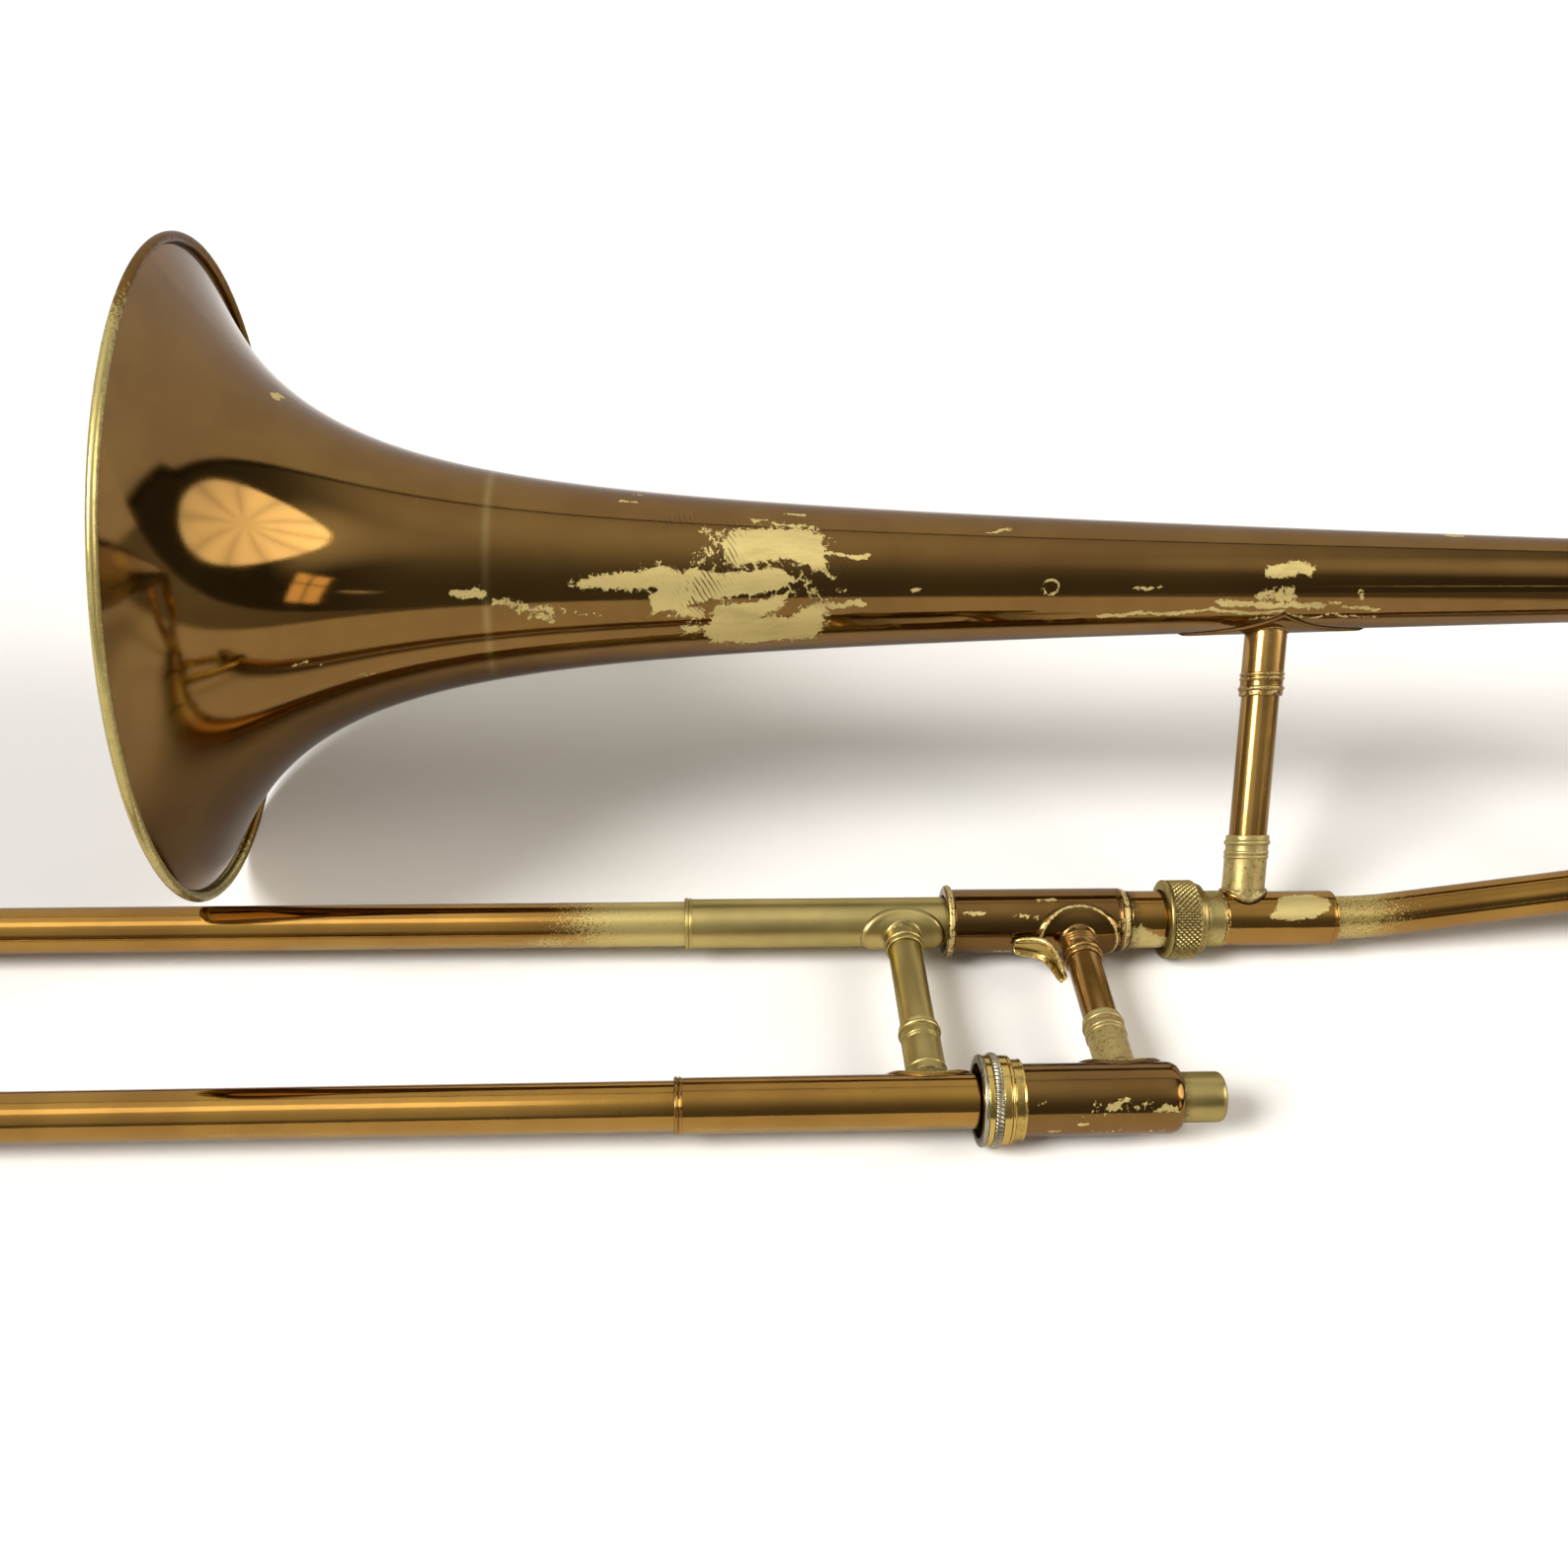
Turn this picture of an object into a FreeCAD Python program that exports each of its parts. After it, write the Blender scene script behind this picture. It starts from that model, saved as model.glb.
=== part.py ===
import FreeCAD
import Part
import math
import os
import re
import Sketcher

# A tenor trombone lying on its side. X runs along the hand slide towards the tuning slide, Y across
# it towards the bell, Z up. Lengths along X are counted from the plane of the bell's rim (rim_x).
# Three axes run along X: the neck tube of the hand slide, its mouthpiece tube, and the bell.

SIZES = {
    # axes
    "rim_x": -25.0,
    "slide_y": -38.5,
    "slide_z": 13.4,
    "slide_spacing": 77.0,
    "bell_spacing": 110.0,
    # bell: radius = (rim_r - flare_base) * (1 + d / flare_length) ^ -flare_power + flare_base - flare_taper * d
    "rim_r": 101.6,
    "flare_base": 23.68,
    "flare_length": 62.35,
    "flare_power": 2.147,
    "flare_taper": 0.0243,
    "bell_wall": 0.5,
    "bead_r": 1.6,
    "sheet_start": 1.25,
    "seam_x": 90.9,
    "seam_width": 1.6,
    "stem_end": 468.0,
    # hand slide tubes
    "outer_r": 7.05,
    "outer_wall": 0.3,
    "inner_r": 6.45,
    "inner_wall": 0.3,
    "stocking_gap": 0.07,
    "stocking_length": 115.0,
    "inner_end": -470.0,
    "bow_x": -492.0,
    "bow_leg": 7.0,
    "bow_wall": 0.6,
    "bow_ferrule_length": 14.0,
    "bow_ferrule_r": 8.0,
    "bumper_end": -550.0,
    "bumper_r": 6.5,
    # sleeves and cork barrels
    "sleeve_r": 7.8,
    "sleeve_neck_x": 150.4,
    "sleeve_mouth_x": 146.6,
    "sleeve_end": 249.7,
    "sleeve_bead": 0.45,
    "barrel_r": 10.2,
    "barrel_bore": 8.4,
    "barrel_bore_end": 264.0,
    "barrel_neck_x": 232.8,
    "barrel_neck_end": 292.1,
    "barrel_mouth_x": 236.5,
    "barrel_mouth_end": 289.9,
    "barrel_lip_r": 11.6,
    "barrel_lip": 2.6,
    "barrel_round": 2.0,
    "cork_x": 252.0,
    "cork_length": 10.0,
    # mouthpiece receiver and leadpipe
    "receiver_x": 278.0,
    "receiver_end": 302.3,
    "receiver_r": 7.15,
    "receiver_bore": 6.25,
    "receiver_land": 8.0,
    "receiver_step": 5.9,
    "leadpipe_length": 200.0,
    "venturi_r": 5.1,
    "venturi_depth": 16.0,
    # lock ring of the slide
    "ring_x": 232.0,
    "ring_knurl_x": 235.1,
    "ring_knurl_width": 2.5,
    "ring_step_x": 240.0,
    "ring_end": 244.4,
    "ring_r": 13.0,
    "ring_step_r": 12.2,
    "ring_bore": 10.5,
    # joint between hand slide and bell
    "tenon_r": 9.2,
    "tenon_flange_x": 304.7,
    "tenon_flange_end": 307.5,
    "tenon_end": 352.0,
    "taper_big": 7.6,
    "taper_small": 7.0,
    "taper_fit": 0.05,
    "nut_x": 303.4,
    "nut_end": 316.0,
    "nut_r": 12.7,
    "nut_bore": 10.9,
    "nut_lip": 1.0,
    "nut_chamfer": 1.6,
    "thread_x": 308.2,
    "thread_end": 314.0,
    "thread_r": 10.6,
    "stub_r": 9.1,
    "ferrule_x": 322.5,
    "ferrule_end": 360.1,
    "ferrule_r": 8.9,
    "socket_r": 8.3,
    # neckpipe
    "neck_r": 6.95,
    "neck_wall": 0.6,
    "neck_x": 354.0,
    "bend_x": 363.0,
    "bend_r": 150.0,
    "bend_angle": 6.5,
    "bend_run": 76.0,
    # tuning slide
    "leg_x": 472.5,
    "leg_end": 534.0,
    "crook_x": 540.0,
    "leg_wall": 0.5,
    "leg_fit": 0.08,
    "bell_leg_r": 12.9,
    "neck_leg_r": 7.9,
    "leg_ferrule_lap": 10.0,
    "leg_ferrule_wall": 1.2,
    "crook_wall": 0.6,
    # braces: saddle lengths and widths, and how far each socket reaches from its tube's axis
    "plate": 0.8,
    "socket_grip": 4.0,
    "socket_lip": 2.5,
    "slide_brace_r": 5.25,
    "slide_socket_r": 5.85,
    "bell_brace_r": 6.0,
    "bell_socket_r": 6.75,
    "socket_ring": 0.5,
    "brace_wall": 0.5,
    "outer_brace_x": 219.0,
    "outer_saddle_length": 27.0,
    "outer_saddle_width": 15.0,
    "outer_reach_neck": 14.0,
    "outer_reach_mouth": 29.0,
    "inner_brace_x": 274.5,
    "inner_saddle_length": 28.0,
    "inner_saddle_width": 19.0,
    "inner_reach_neck": 20.0,
    "inner_reach_mouth": 31.0,
    "bell_brace_x": 330.0,
    "bell_brace_lean": 5.7,
    "ferrule_saddle": 14.0,
    "bell_saddle_length": 62.0,
    "bell_saddle_width": 22.0,
    "bell_reach_neck": 27.0,
    "bell_reach_bell": 38.0,
    "tail_brace_x": 503.0,
    "tail_saddle_length": 28.0,
    "tail_saddle_neck": 14.0,
    "tail_saddle_bell": 20.0,
    "tail_reach_neck": 20.0,
    "tail_reach_bell": 26.0,
    # left-hand finger rest
    "rest_thick": 2.2,
    "rest_width": 9.0,
    "rest_bend": 13.0,
    # water key
    "key_x": -462.0,
    "key_height": 13.0,
    "key_pin_r": 1.0,
    "key_pin_fit": 0.05,
    "key_barrel_r": 2.2,
    "key_post_gap": 6.4,
    "key_post": 1.2,
    "key_side_play": 0.2,
    "key_arm_thick": 1.6,
    "key_arm_width": 3.4,
    "key_thumb": 38.0,
    "key_thumb_length": 16.0,
    "key_thumb_thick": 1.8,
    "key_thumb_width": 9.0,
    "key_pad_r": 3.2,
    "key_cup_wall": 0.5,
    "key_cup_depth": 2.2,
    "key_cup_drop": 0.6,
    "nipple_r": 2.4,
    "nipple_bore": 1.5,
    "nipple_top": 10.4,
}

X_AXIS = FreeCAD.Vector(1, 0, 0)
Y_AXIS = FreeCAD.Vector(0, 1, 0)
Z_AXIS = FreeCAD.Vector(0, 0, 1)

BELL_RISE = "(rim_r - slide_z)"
BELL_SIDE = "sqrt(bell_spacing ^ 2 - (rim_r - slide_z) ^ 2)"
NECK_RISE = "(2 * bend_r * (1 - cos(bend_angle)) + bend_run * sin(bend_angle))"
CROOK_SPACING = f"(bell_spacing - {NECK_RISE})"
AXES = {
    "neck": ("slide_y", "slide_z"),
    "mouth": ("slide_y - slide_spacing", "slide_z"),
    "bell": (f"slide_y + {BELL_SIDE}", "rim_r"),
    "tail": (f"slide_y + {BELL_SIDE} * {NECK_RISE} / bell_spacing",
             f"slide_z + {BELL_RISE} * {NECK_RISE} / bell_spacing"),
    "middle": (f"slide_y + {BELL_SIDE} * ({NECK_RISE} + {CROOK_SPACING} / 2) / bell_spacing",
               f"slide_z + {BELL_RISE} * ({NECK_RISE} + {CROOK_SPACING} / 2) / bell_spacing"),
}
TOWARDS_BELL = f"-acos({BELL_RISE} / bell_spacing)"
TOWARDS_MOUTH = "90"

doc = FreeCAD.newDocument("trombone")
sheet = doc.addObject("Spreadsheet::Sheet", "sizes")
for row, (alias, value) in enumerate(SIZES.items(), start=1):
    sheet.set(f"A{row}", alias)
    sheet.set(f"B{row}", str(value))
    sheet.setAlias(f"B{row}", alias)
doc.recompute()

nodes = []


def bound(formula):
    """The formula with each dimension's name turned into its cell."""
    return re.sub(r"[a-z_]+", lambda word: f"sizes.{word[0]}" if word[0] in SIZES else word[0], str(formula))


def value_of(formula):
    """What the formula comes to, as a plain number of millimetres or degrees."""
    result = sheet.evalExpression(bound(formula).replace("sizes.", ""))
    return float(getattr(result, "Value", result))


def bind(thing, **formulas):
    """Ties properties of an object to formulas on the sheet."""
    for name, formula in formulas.items():
        thing.setExpression(name.replace("__", "."), bound(formula))
    return thing


def place(thing, x, axis, turn=None):
    """Puts an object on one of the axes, x from the rim, turned about X."""
    y, z = AXES[axis]
    if turn is not None:
        thing.Placement = FreeCAD.Placement(FreeCAD.Vector(), FreeCAD.Rotation(X_AXIS, 45))
        bind(thing, Placement__Rotation__Angle=turn)
    return bind(thing, Placement__Base__x=f"rim_x + {x}", Placement__Base__y=y, Placement__Base__z=z)


def node(thing, label):
    """Names an object as a sub-part that gets a file of its own."""
    thing.Label = label
    nodes.append(thing)
    return thing


def sketch_on(body, role, name):
    """A sketch on one of the body's own origin planes."""
    sketch = body.newObject("Sketcher::SketchObject", name)
    plane = next(part for part in body.Origin.OriginFeatures if part.Role == role)
    sketch.AttachmentSupport = [(plane, "")]
    sketch.MapMode = "FlatFace"
    return sketch


def hold(sketch, kind, geometry, point, formula):
    """Holds a point of a sketch at a distance from its origin."""
    value = value_of(formula)
    if abs(value) < 1e-9:
        axis_line = -2 if kind == "DistanceX" else -1
        sketch.addConstraint(Sketcher.Constraint("PointOnObject", geometry, point, axis_line))
        return
    number = sketch.addConstraint(Sketcher.Constraint(kind, -1, 1, geometry, point, value))
    sketch.setExpression(f"Constraints[{number}]", bound(formula))


def outline_sketch(body, role, name, corners):
    """A closed outline of straight edges through corners given as pairs of formulas."""
    sketch = sketch_on(body, role, name)
    points = [FreeCAD.Vector(value_of(x), value_of(y), 0) for x, y in corners]
    count = len(points)
    for index in range(count):
        sketch.addGeometry(Part.LineSegment(points[index], points[(index + 1) % count]))
    for index in range(count):
        sketch.addConstraint(Sketcher.Constraint("Coincident", index, 2, (index + 1) % count, 1))
    for index, (x, y) in enumerate(corners):
        hold(sketch, "DistanceX", index, 1, x)
        hold(sketch, "DistanceY", index, 1, y)
    return sketch


def turned_body(name, corners):
    """A piece turned about its local X axis; corners are (along, radius)."""
    body = doc.addObject("PartDesign::Body", name)
    sketch = outline_sketch(body, "XZ_Plane", name + "_outline", corners)
    revolution = body.newObject("PartDesign::Revolution", name + "_turned")
    revolution.Profile = sketch
    revolution.ReferenceAxis = (sketch, ["H_Axis"])
    revolution.Angle = 360
    sketch.Visibility = False
    return body


def turned(label, axis, start, corners):
    """A turned sub-part, with its corners counted along X from its start."""
    body = turned_body(label, corners)
    return place(node(body, label), start, axis)


def tube(label, axis, start, end, radius, wall):
    """A straight round tube from start to end."""
    length = f"{end} - ({start})"
    inside = f"{radius} - ({wall})"
    corners = [("0", inside), ("0", radius), (length, radius), (length, inside)]
    return turned(label, axis, start, corners)


def ring_sketch(body, role, name, centre, outer, inner):
    """Two circles around one centre on the sketch's own X axis."""
    sketch = sketch_on(body, role, name)
    middle = FreeCAD.Vector(value_of(centre), 0, 0)
    for index, radius in enumerate((outer, inner)):
        sketch.addGeometry(Part.Circle(middle, Z_AXIS, value_of(radius)))
        hold(sketch, "DistanceX", index, 3, centre)
        hold(sketch, "DistanceY", index, 3, "0")
        number = sketch.addConstraint(Sketcher.Constraint("Radius", index, value_of(radius)))
        sketch.setExpression(f"Constraints[{number}]", bound(radius))
    return sketch


def piped_body(name, path_role, draw_path, centre, outer, inner):
    """A tube swept along a path that draw_path puts in a sketch; it starts in the YZ plane."""
    body = doc.addObject("PartDesign::Body", name)
    path = sketch_on(body, path_role, name + "_path")
    edges = draw_path(path)
    section = ring_sketch(body, "YZ_Plane", name + "_section", centre, outer, inner)
    doc.recompute()
    pipe = body.newObject("PartDesign::AdditivePipe", name + "_pipe")
    pipe.Profile = section
    pipe.Spine = (path, [f"Edge{number}" for number in range(1, edges + 1)])
    return body


def cylinder(name, radius, length, direction, **formulas):
    """A plain cylinder from its own centre along a direction."""
    solid = doc.addObject("Part::Cylinder", name)
    solid.Placement = FreeCAD.Placement(FreeCAD.Vector(), FreeCAD.Rotation(Z_AXIS, direction))
    return bind(solid, Radius=radius, Height=length, **formulas)


def cut(name, base, tool):
    """The base with the tool taken away."""
    result = doc.addObject("Part::Cut", name)
    result.Base = base
    result.Tool = tool
    return result


def fused(name, shapes):
    """Several solids made into one."""
    result = doc.addObject("Part::MultiFuse", name)
    result.Shapes = shapes
    return result


def compound(name, shapes):
    """Separate solids kept together as one sub-part."""
    result = doc.addObject("Part::Compound", name)
    result.Links = shapes
    return result


# --- bell -----------------------------------------------------------------------------------------

def bell_radius(distance):
    """Outer radius of the bell at a distance behind its rim."""
    return (f"((rim_r - flare_base) * (1 + ({distance}) / flare_length) ^ (-flare_power)"
            f" + flare_base - flare_taper * ({distance}))")


def bell_curve(first, last, offset, stations=24):
    """Points along the bell's profile, moved inwards by an offset square to it."""
    base, length, power = SIZES["flare_base"], SIZES["flare_length"], SIZES["flare_power"]
    points = []
    for number in range(stations):
        distance = first + (last - first) * (number / (stations - 1)) ** 2
        flare = (SIZES["rim_r"] - base) * (1 + distance / length) ** (-power)
        radius = flare + base - SIZES["flare_taper"] * distance
        slope = -flare * power / (length + distance) - SIZES["flare_taper"]
        shift = offset / math.hypot(1, slope)
        points.append(FreeCAD.Vector(distance + slope * shift, 0, radius - shift))
    return points


def make_bell_sheet(label, first, last):
    """A stretch of the bell's thin sheet, turned about the bell axis."""
    edges = []
    for offset in (0, SIZES["bell_wall"]):
        curve = Part.BSplineCurve()
        curve.interpolate(bell_curve(first, last, offset))
        edges.append(curve.toShape())
    outside, inside = edges
    edges.append(Part.LineSegment(outside.firstVertex().Point, inside.firstVertex().Point).toShape())
    edges.append(Part.LineSegment(outside.lastVertex().Point, inside.lastVertex().Point).toShape())
    wire = Part.Wire(Part.__sortEdges__(edges))
    sheet_piece = doc.addObject("Part::Feature", label)
    sheet_piece.Shape = Part.Face(wire).revolve(FreeCAD.Vector(), X_AXIS, 360)
    place(node(sheet_piece, label), "0", "bell")


def make_bell():
    """The spun flare and the stem, brazed together at the seam."""
    make_bell_sheet("bell_flare", SIZES["sheet_start"], SIZES["seam_x"])
    make_bell_sheet("bell_stem", SIZES["seam_x"], SIZES["stem_end"])


def make_rim_bead():
    """The wire bead that the rim is rolled round."""
    bead = doc.addObject("Part::Torus", "bell_rim_bead")
    bead.Placement = FreeCAD.Placement(FreeCAD.Vector(), FreeCAD.Rotation(Z_AXIS, X_AXIS))
    bind(bead, Radius1="rim_r - bead_r", Radius2="bead_r")
    place(node(bead, "bell_rim_bead"), "bead_r", "bell")


def make_seam_ring():
    """The band of solder over the seam between flare and stem."""
    near, far = bell_radius("seam_x"), bell_radius("seam_x + seam_width")
    turned("bell_seam_ring", "bell", "seam_x",
           [("0", near), ("0", f"{near} + 0.08"), ("seam_width", f"{far} + 0.08"), ("seam_width", far)])


# --- tubes of the hand slide ------------------------------------------------------------------------

def make_outer_slide():
    """Two long tubes, their sleeves, the bow that joins them and its ferrules."""
    tube_end = "bow_x + bow_leg"
    for side in ("neck", "mouth"):
        sleeve = f"sleeve_{side}_x"
        tube(f"outer_tube_{side}", side, tube_end, "sleeve_end", "outer_r", "outer_wall")
        proud = "sleeve_r + sleeve_bead"
        turned(f"sleeve_{side}", side, sleeve,
               [("0", "outer_r"), ("0", proud), ("2", proud), ("2", "sleeve_r"),
                (f"sleeve_end - {sleeve}", "sleeve_r"), (f"sleeve_end - {sleeve}", "outer_r")])
        turned(f"bow_ferrule_{side}", side, "bow_x",
               [("0", "outer_r"), ("0", "bow_ferrule_r"), ("bow_ferrule_length", "bow_ferrule_r"),
                ("bow_ferrule_length", "outer_r")])
    bow = piped_body("slide_bow", "XY_Plane", draw_bow_path, "0", "outer_r", "outer_r - bow_wall")
    place(node(bow, "slide_bow"), tube_end, "neck")


def draw_bow_path(path):
    """Out along the neck tube, round half a circle, and back along the mouthpiece tube."""
    leg, reach = value_of("bow_leg"), value_of("slide_spacing")
    start, corner = FreeCAD.Vector(), FreeCAD.Vector(-leg, 0, 0)
    path.addGeometry(Part.LineSegment(start, corner))
    middle = FreeCAD.Vector(-leg, -reach / 2, 0)
    path.addGeometry(Part.ArcOfCircle(Part.Circle(middle, Z_AXIS, reach / 2), math.pi / 2, 3 * math.pi / 2))
    path.addGeometry(Part.LineSegment(FreeCAD.Vector(-leg, -reach, 0), FreeCAD.Vector(0, -reach, 0)))
    path.addConstraint(Sketcher.Constraint("Coincident", 0, 1, -1, 1))
    path.addConstraint(Sketcher.Constraint("Horizontal", 0))
    path.addConstraint(Sketcher.Constraint("Tangent", 0, 2, 1, 1))
    path.addConstraint(Sketcher.Constraint("Tangent", 1, 2, 2, 1))
    path.addConstraint(Sketcher.Constraint("PointOnObject", 2, 2, -2))
    hold(path, "DistanceX", 0, 2, "-bow_leg")
    hold(path, "DistanceY", 2, 2, "-slide_spacing")
    path.addConstraint(Sketcher.Constraint("Horizontal", 2))
    return 3


def make_bumper():
    """The rubber end bumper, seated on the outside of the bow."""
    length = "bow_x - slide_spacing / 2 - bumper_end"
    round_edge = "bumper_r - 1.5"
    body = turned_body("bumper_blank", [("0", "0"), ("0", round_edge), ("1.5", "bumper_r"),
                                        (length, "bumper_r"), (length, "0")])
    bind(body, Placement__Base__x="bumper_end", Placement__Base__y="-slide_spacing / 2")
    bow = doc.addObject("Part::Torus", "bumper_seat")
    bind(bow, Radius1="slide_spacing / 2", Radius2="outer_r", Placement__Base__x="bow_x",
         Placement__Base__y="-slide_spacing / 2")
    outside = cut("bumper_cut", body, bow)
    core = cylinder("bumper_core", "slide_spacing / 2", "bumper_r * 4", Z_AXIS, Placement__Base__x="bow_x",
                    Placement__Base__y="-slide_spacing / 2", Placement__Base__z="-bumper_r * 2")
    place(node(cut("bow_bumper", outside, core), "bow_bumper"), "0", "neck")


def make_inner_slide_tubes():
    """Two thin inner tubes, each swelling into a stocking at its far end."""
    for side, end in (("neck", "barrel_neck_end + 8"), ("mouth", "receiver_x")):
        stocking = "outer_r - outer_wall - stocking_gap"
        bore = "inner_r - inner_wall"
        corners = [("0", bore), ("0", stocking), ("stocking_length", stocking), ("stocking_length + 2", "inner_r"),
                   (f"{end} - inner_end", "inner_r"), (f"{end} - inner_end", bore)]
        turned(f"inner_tube_{side}", side, "inner_end", corners)
        turned(f"slide_cork_{side}", side, "cork_x",
               [("0", "inner_r"), ("0", "barrel_bore"), ("cork_length", "barrel_bore"), ("cork_length", "inner_r")])


def make_barrels():
    """The two cork barrels, open towards the outer slide."""
    wide, depth = "barrel_neck_end - barrel_neck_x", "barrel_bore_end - barrel_neck_x"
    turned("barrel_neck", "neck", "barrel_neck_x",
           [("0", "barrel_bore"), ("0", "barrel_lip_r"), ("barrel_lip", "barrel_lip_r"), ("barrel_lip", "barrel_r"),
            (f"{wide} - barrel_round", "barrel_r"), (wide, "barrel_r - barrel_round"), (wide, "inner_r"),
            (depth, "inner_r"), (depth, "barrel_bore")])
    wide, depth = "barrel_mouth_end - barrel_mouth_x", "barrel_bore_end - barrel_mouth_x"
    seat = "receiver_x - barrel_mouth_x"
    turned("barrel_mouth", "mouth", "barrel_mouth_x",
           [("0", "barrel_bore"), ("0", "barrel_r"), (f"{wide} - barrel_round", "barrel_r"),
            (wide, "barrel_r - barrel_round"), (wide, "receiver_r"), (seat, "receiver_r"), (seat, "inner_r"),
            (depth, "inner_r"), (depth, "barrel_bore")])


def make_receiver():
    """The mouthpiece receiver and the leadpipe behind it."""
    length = "receiver_end - receiver_x"
    turned("mouthpiece_receiver", "mouth", "receiver_x",
           [("0", "receiver_step"), ("0", "receiver_r"), (f"{length} - 0.8", "receiver_r"),
            (length, "receiver_r - 0.5"), (length, "receiver_bore"), (f"{length} - receiver_land", "receiver_bore"),
            ("6", "receiver_step")])
    bore = "inner_r - inner_wall"
    turned("leadpipe", "mouth", "receiver_x - leadpipe_length",
           [("0", f"{bore} - 0.1"), ("0", bore), ("leadpipe_length", bore), ("leadpipe_length", "receiver_step"),
            ("leadpipe_length - venturi_depth", "venturi_r")])


def make_lock_ring():
    """The ring that turns to hold the outer slide shut, with its roped band."""
    step, end = "ring_step_x - ring_x", "ring_end - ring_x"
    turned("lock_ring", "mouth", "ring_x",
           [("0", "ring_bore"), ("0", "ring_r"), (step, "ring_r"), (step, "ring_step_r"),
            (end, "ring_step_r"), (end, "ring_bore")])
    turned("lock_ring_rope", "mouth", "ring_knurl_x",
           [("0", "ring_r"), ("0.6", "slide_z"), ("ring_knurl_width - 0.6", "slide_z"),
            ("ring_knurl_width", "ring_r")])


# --- joint to the bell, neckpipe and tuning slide -----------------------------------------------------

def make_slide_joint():
    """Tapered tenon on the hand slide, threaded receiver on the neckpipe, and the nut between them."""
    start = "barrel_neck_end"
    flange_start, flange_end = f"tenon_flange_x - {start}", f"tenon_flange_end - {start}"
    end, tube_seat = f"tenon_end - {start}", "8"
    bore = "inner_r - inner_wall"
    turned("slide_tenon", "neck", start,
           [("0", "inner_r"), ("0", "tenon_r"), (flange_start, "tenon_r"), (flange_start, "thread_r"),
            (flange_end, "thread_r"), (flange_end, "taper_big"), (end, "taper_small"), (end, bore),
            (tube_seat, bore), (tube_seat, "inner_r")])
    nut_length = "nut_end - nut_x"
    turned("lock_nut", "neck", "nut_x",
           [("0", "tenon_r + 0.3"), ("0", "nut_r - 0.5"), ("0.5", "nut_r"), (f"{nut_length} - nut_chamfer", "nut_r"),
            (nut_length, "nut_r - nut_chamfer"), (nut_length, "nut_bore"), ("nut_lip", "nut_bore"),
            ("nut_lip", "tenon_r + 0.3")])
    thread_end, stub_end, end = "thread_end - thread_x", "ferrule_x - thread_x", "neck_x - thread_x"
    turned("neckpipe_receiver", "neck", "thread_x",
           [("0", "taper_big + taper_fit"), ("0", "thread_r"), (thread_end, "thread_r"), (thread_end, "stub_r"),
            (stub_end, "stub_r"), (stub_end, "socket_r"), (end, "socket_r"), (end, "taper_small + taper_fit")])
    length, seat = "ferrule_end - ferrule_x", "neck_x - ferrule_x"
    turned("neckpipe_ferrule", "neck", "ferrule_x",
           [("0", "socket_r"), ("0", "ferrule_r"), (length, "ferrule_r"), (length, "neck_r"), (seat, "neck_r"),
            (seat, "socket_r")])


def draw_neckpipe_path(path):
    """Straight, a gentle bend towards the bell, a slanting run, the bend back, and straight again."""
    lead, run, radius = value_of("bend_x - neck_x"), value_of("bend_run"), value_of("bend_r")
    angle = math.radians(value_of("bend_angle"))
    along, aside = radius * math.sin(angle), radius * (1 - math.cos(angle))
    points = [FreeCAD.Vector(0, 0, 0), FreeCAD.Vector(lead, 0, 0), FreeCAD.Vector(lead + along, aside, 0)]
    points.append(points[2] + FreeCAD.Vector(run * math.cos(angle), run * math.sin(angle), 0))
    points.append(points[3] + FreeCAD.Vector(along, aside, 0))
    points.append(FreeCAD.Vector(value_of("leg_x - neck_x"), points[4].y, 0))
    first = Part.Circle(FreeCAD.Vector(lead, radius, 0), Z_AXIS, radius)
    second = Part.Circle(FreeCAD.Vector(points[4].x, points[4].y - radius, 0), Z_AXIS, radius)
    path.addGeometry(Part.LineSegment(points[0], points[1]))
    path.addGeometry(Part.ArcOfCircle(first, -math.pi / 2, angle - math.pi / 2))
    path.addGeometry(Part.LineSegment(points[2], points[3]))
    path.addGeometry(Part.ArcOfCircle(second, math.pi / 2, math.pi / 2 + angle))
    path.addGeometry(Part.LineSegment(points[4], points[5]))
    path.addConstraint(Sketcher.Constraint("Coincident", 0, 1, -1, 1))
    path.addConstraint(Sketcher.Constraint("Horizontal", 0))
    for before, end, after, start in ((0, 2, 1, 1), (1, 2, 2, 1), (2, 2, 3, 2), (3, 1, 4, 1)):
        path.addConstraint(Sketcher.Constraint("Tangent", before, end, after, start))
    path.addConstraint(Sketcher.Constraint("Horizontal", 4))
    hold(path, "DistanceX", 0, 2, "bend_x - neck_x")
    hold(path, "DistanceX", 4, 2, "leg_x - neck_x")
    hold(path, "DistanceY", 4, 2, NECK_RISE)
    for kind, geometry, formula in (("Radius", 1, "bend_r"), ("Radius", 3, "bend_r"), ("Distance", 2, "bend_run")):
        number = path.addConstraint(Sketcher.Constraint(kind, geometry, value_of(formula)))
        path.setExpression(f"Constraints[{number}]", bound(formula))
    return 5


def make_neckpipe():
    """The gooseneck between the receiver and the tuning slide."""
    pipe = piped_body("neckpipe", "XZ_Plane", draw_neckpipe_path, "0", "neck_r", "neck_r - neck_wall")
    place(node(pipe, "neckpipe"), "neck_x", "neck", TOWARDS_BELL)


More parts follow.
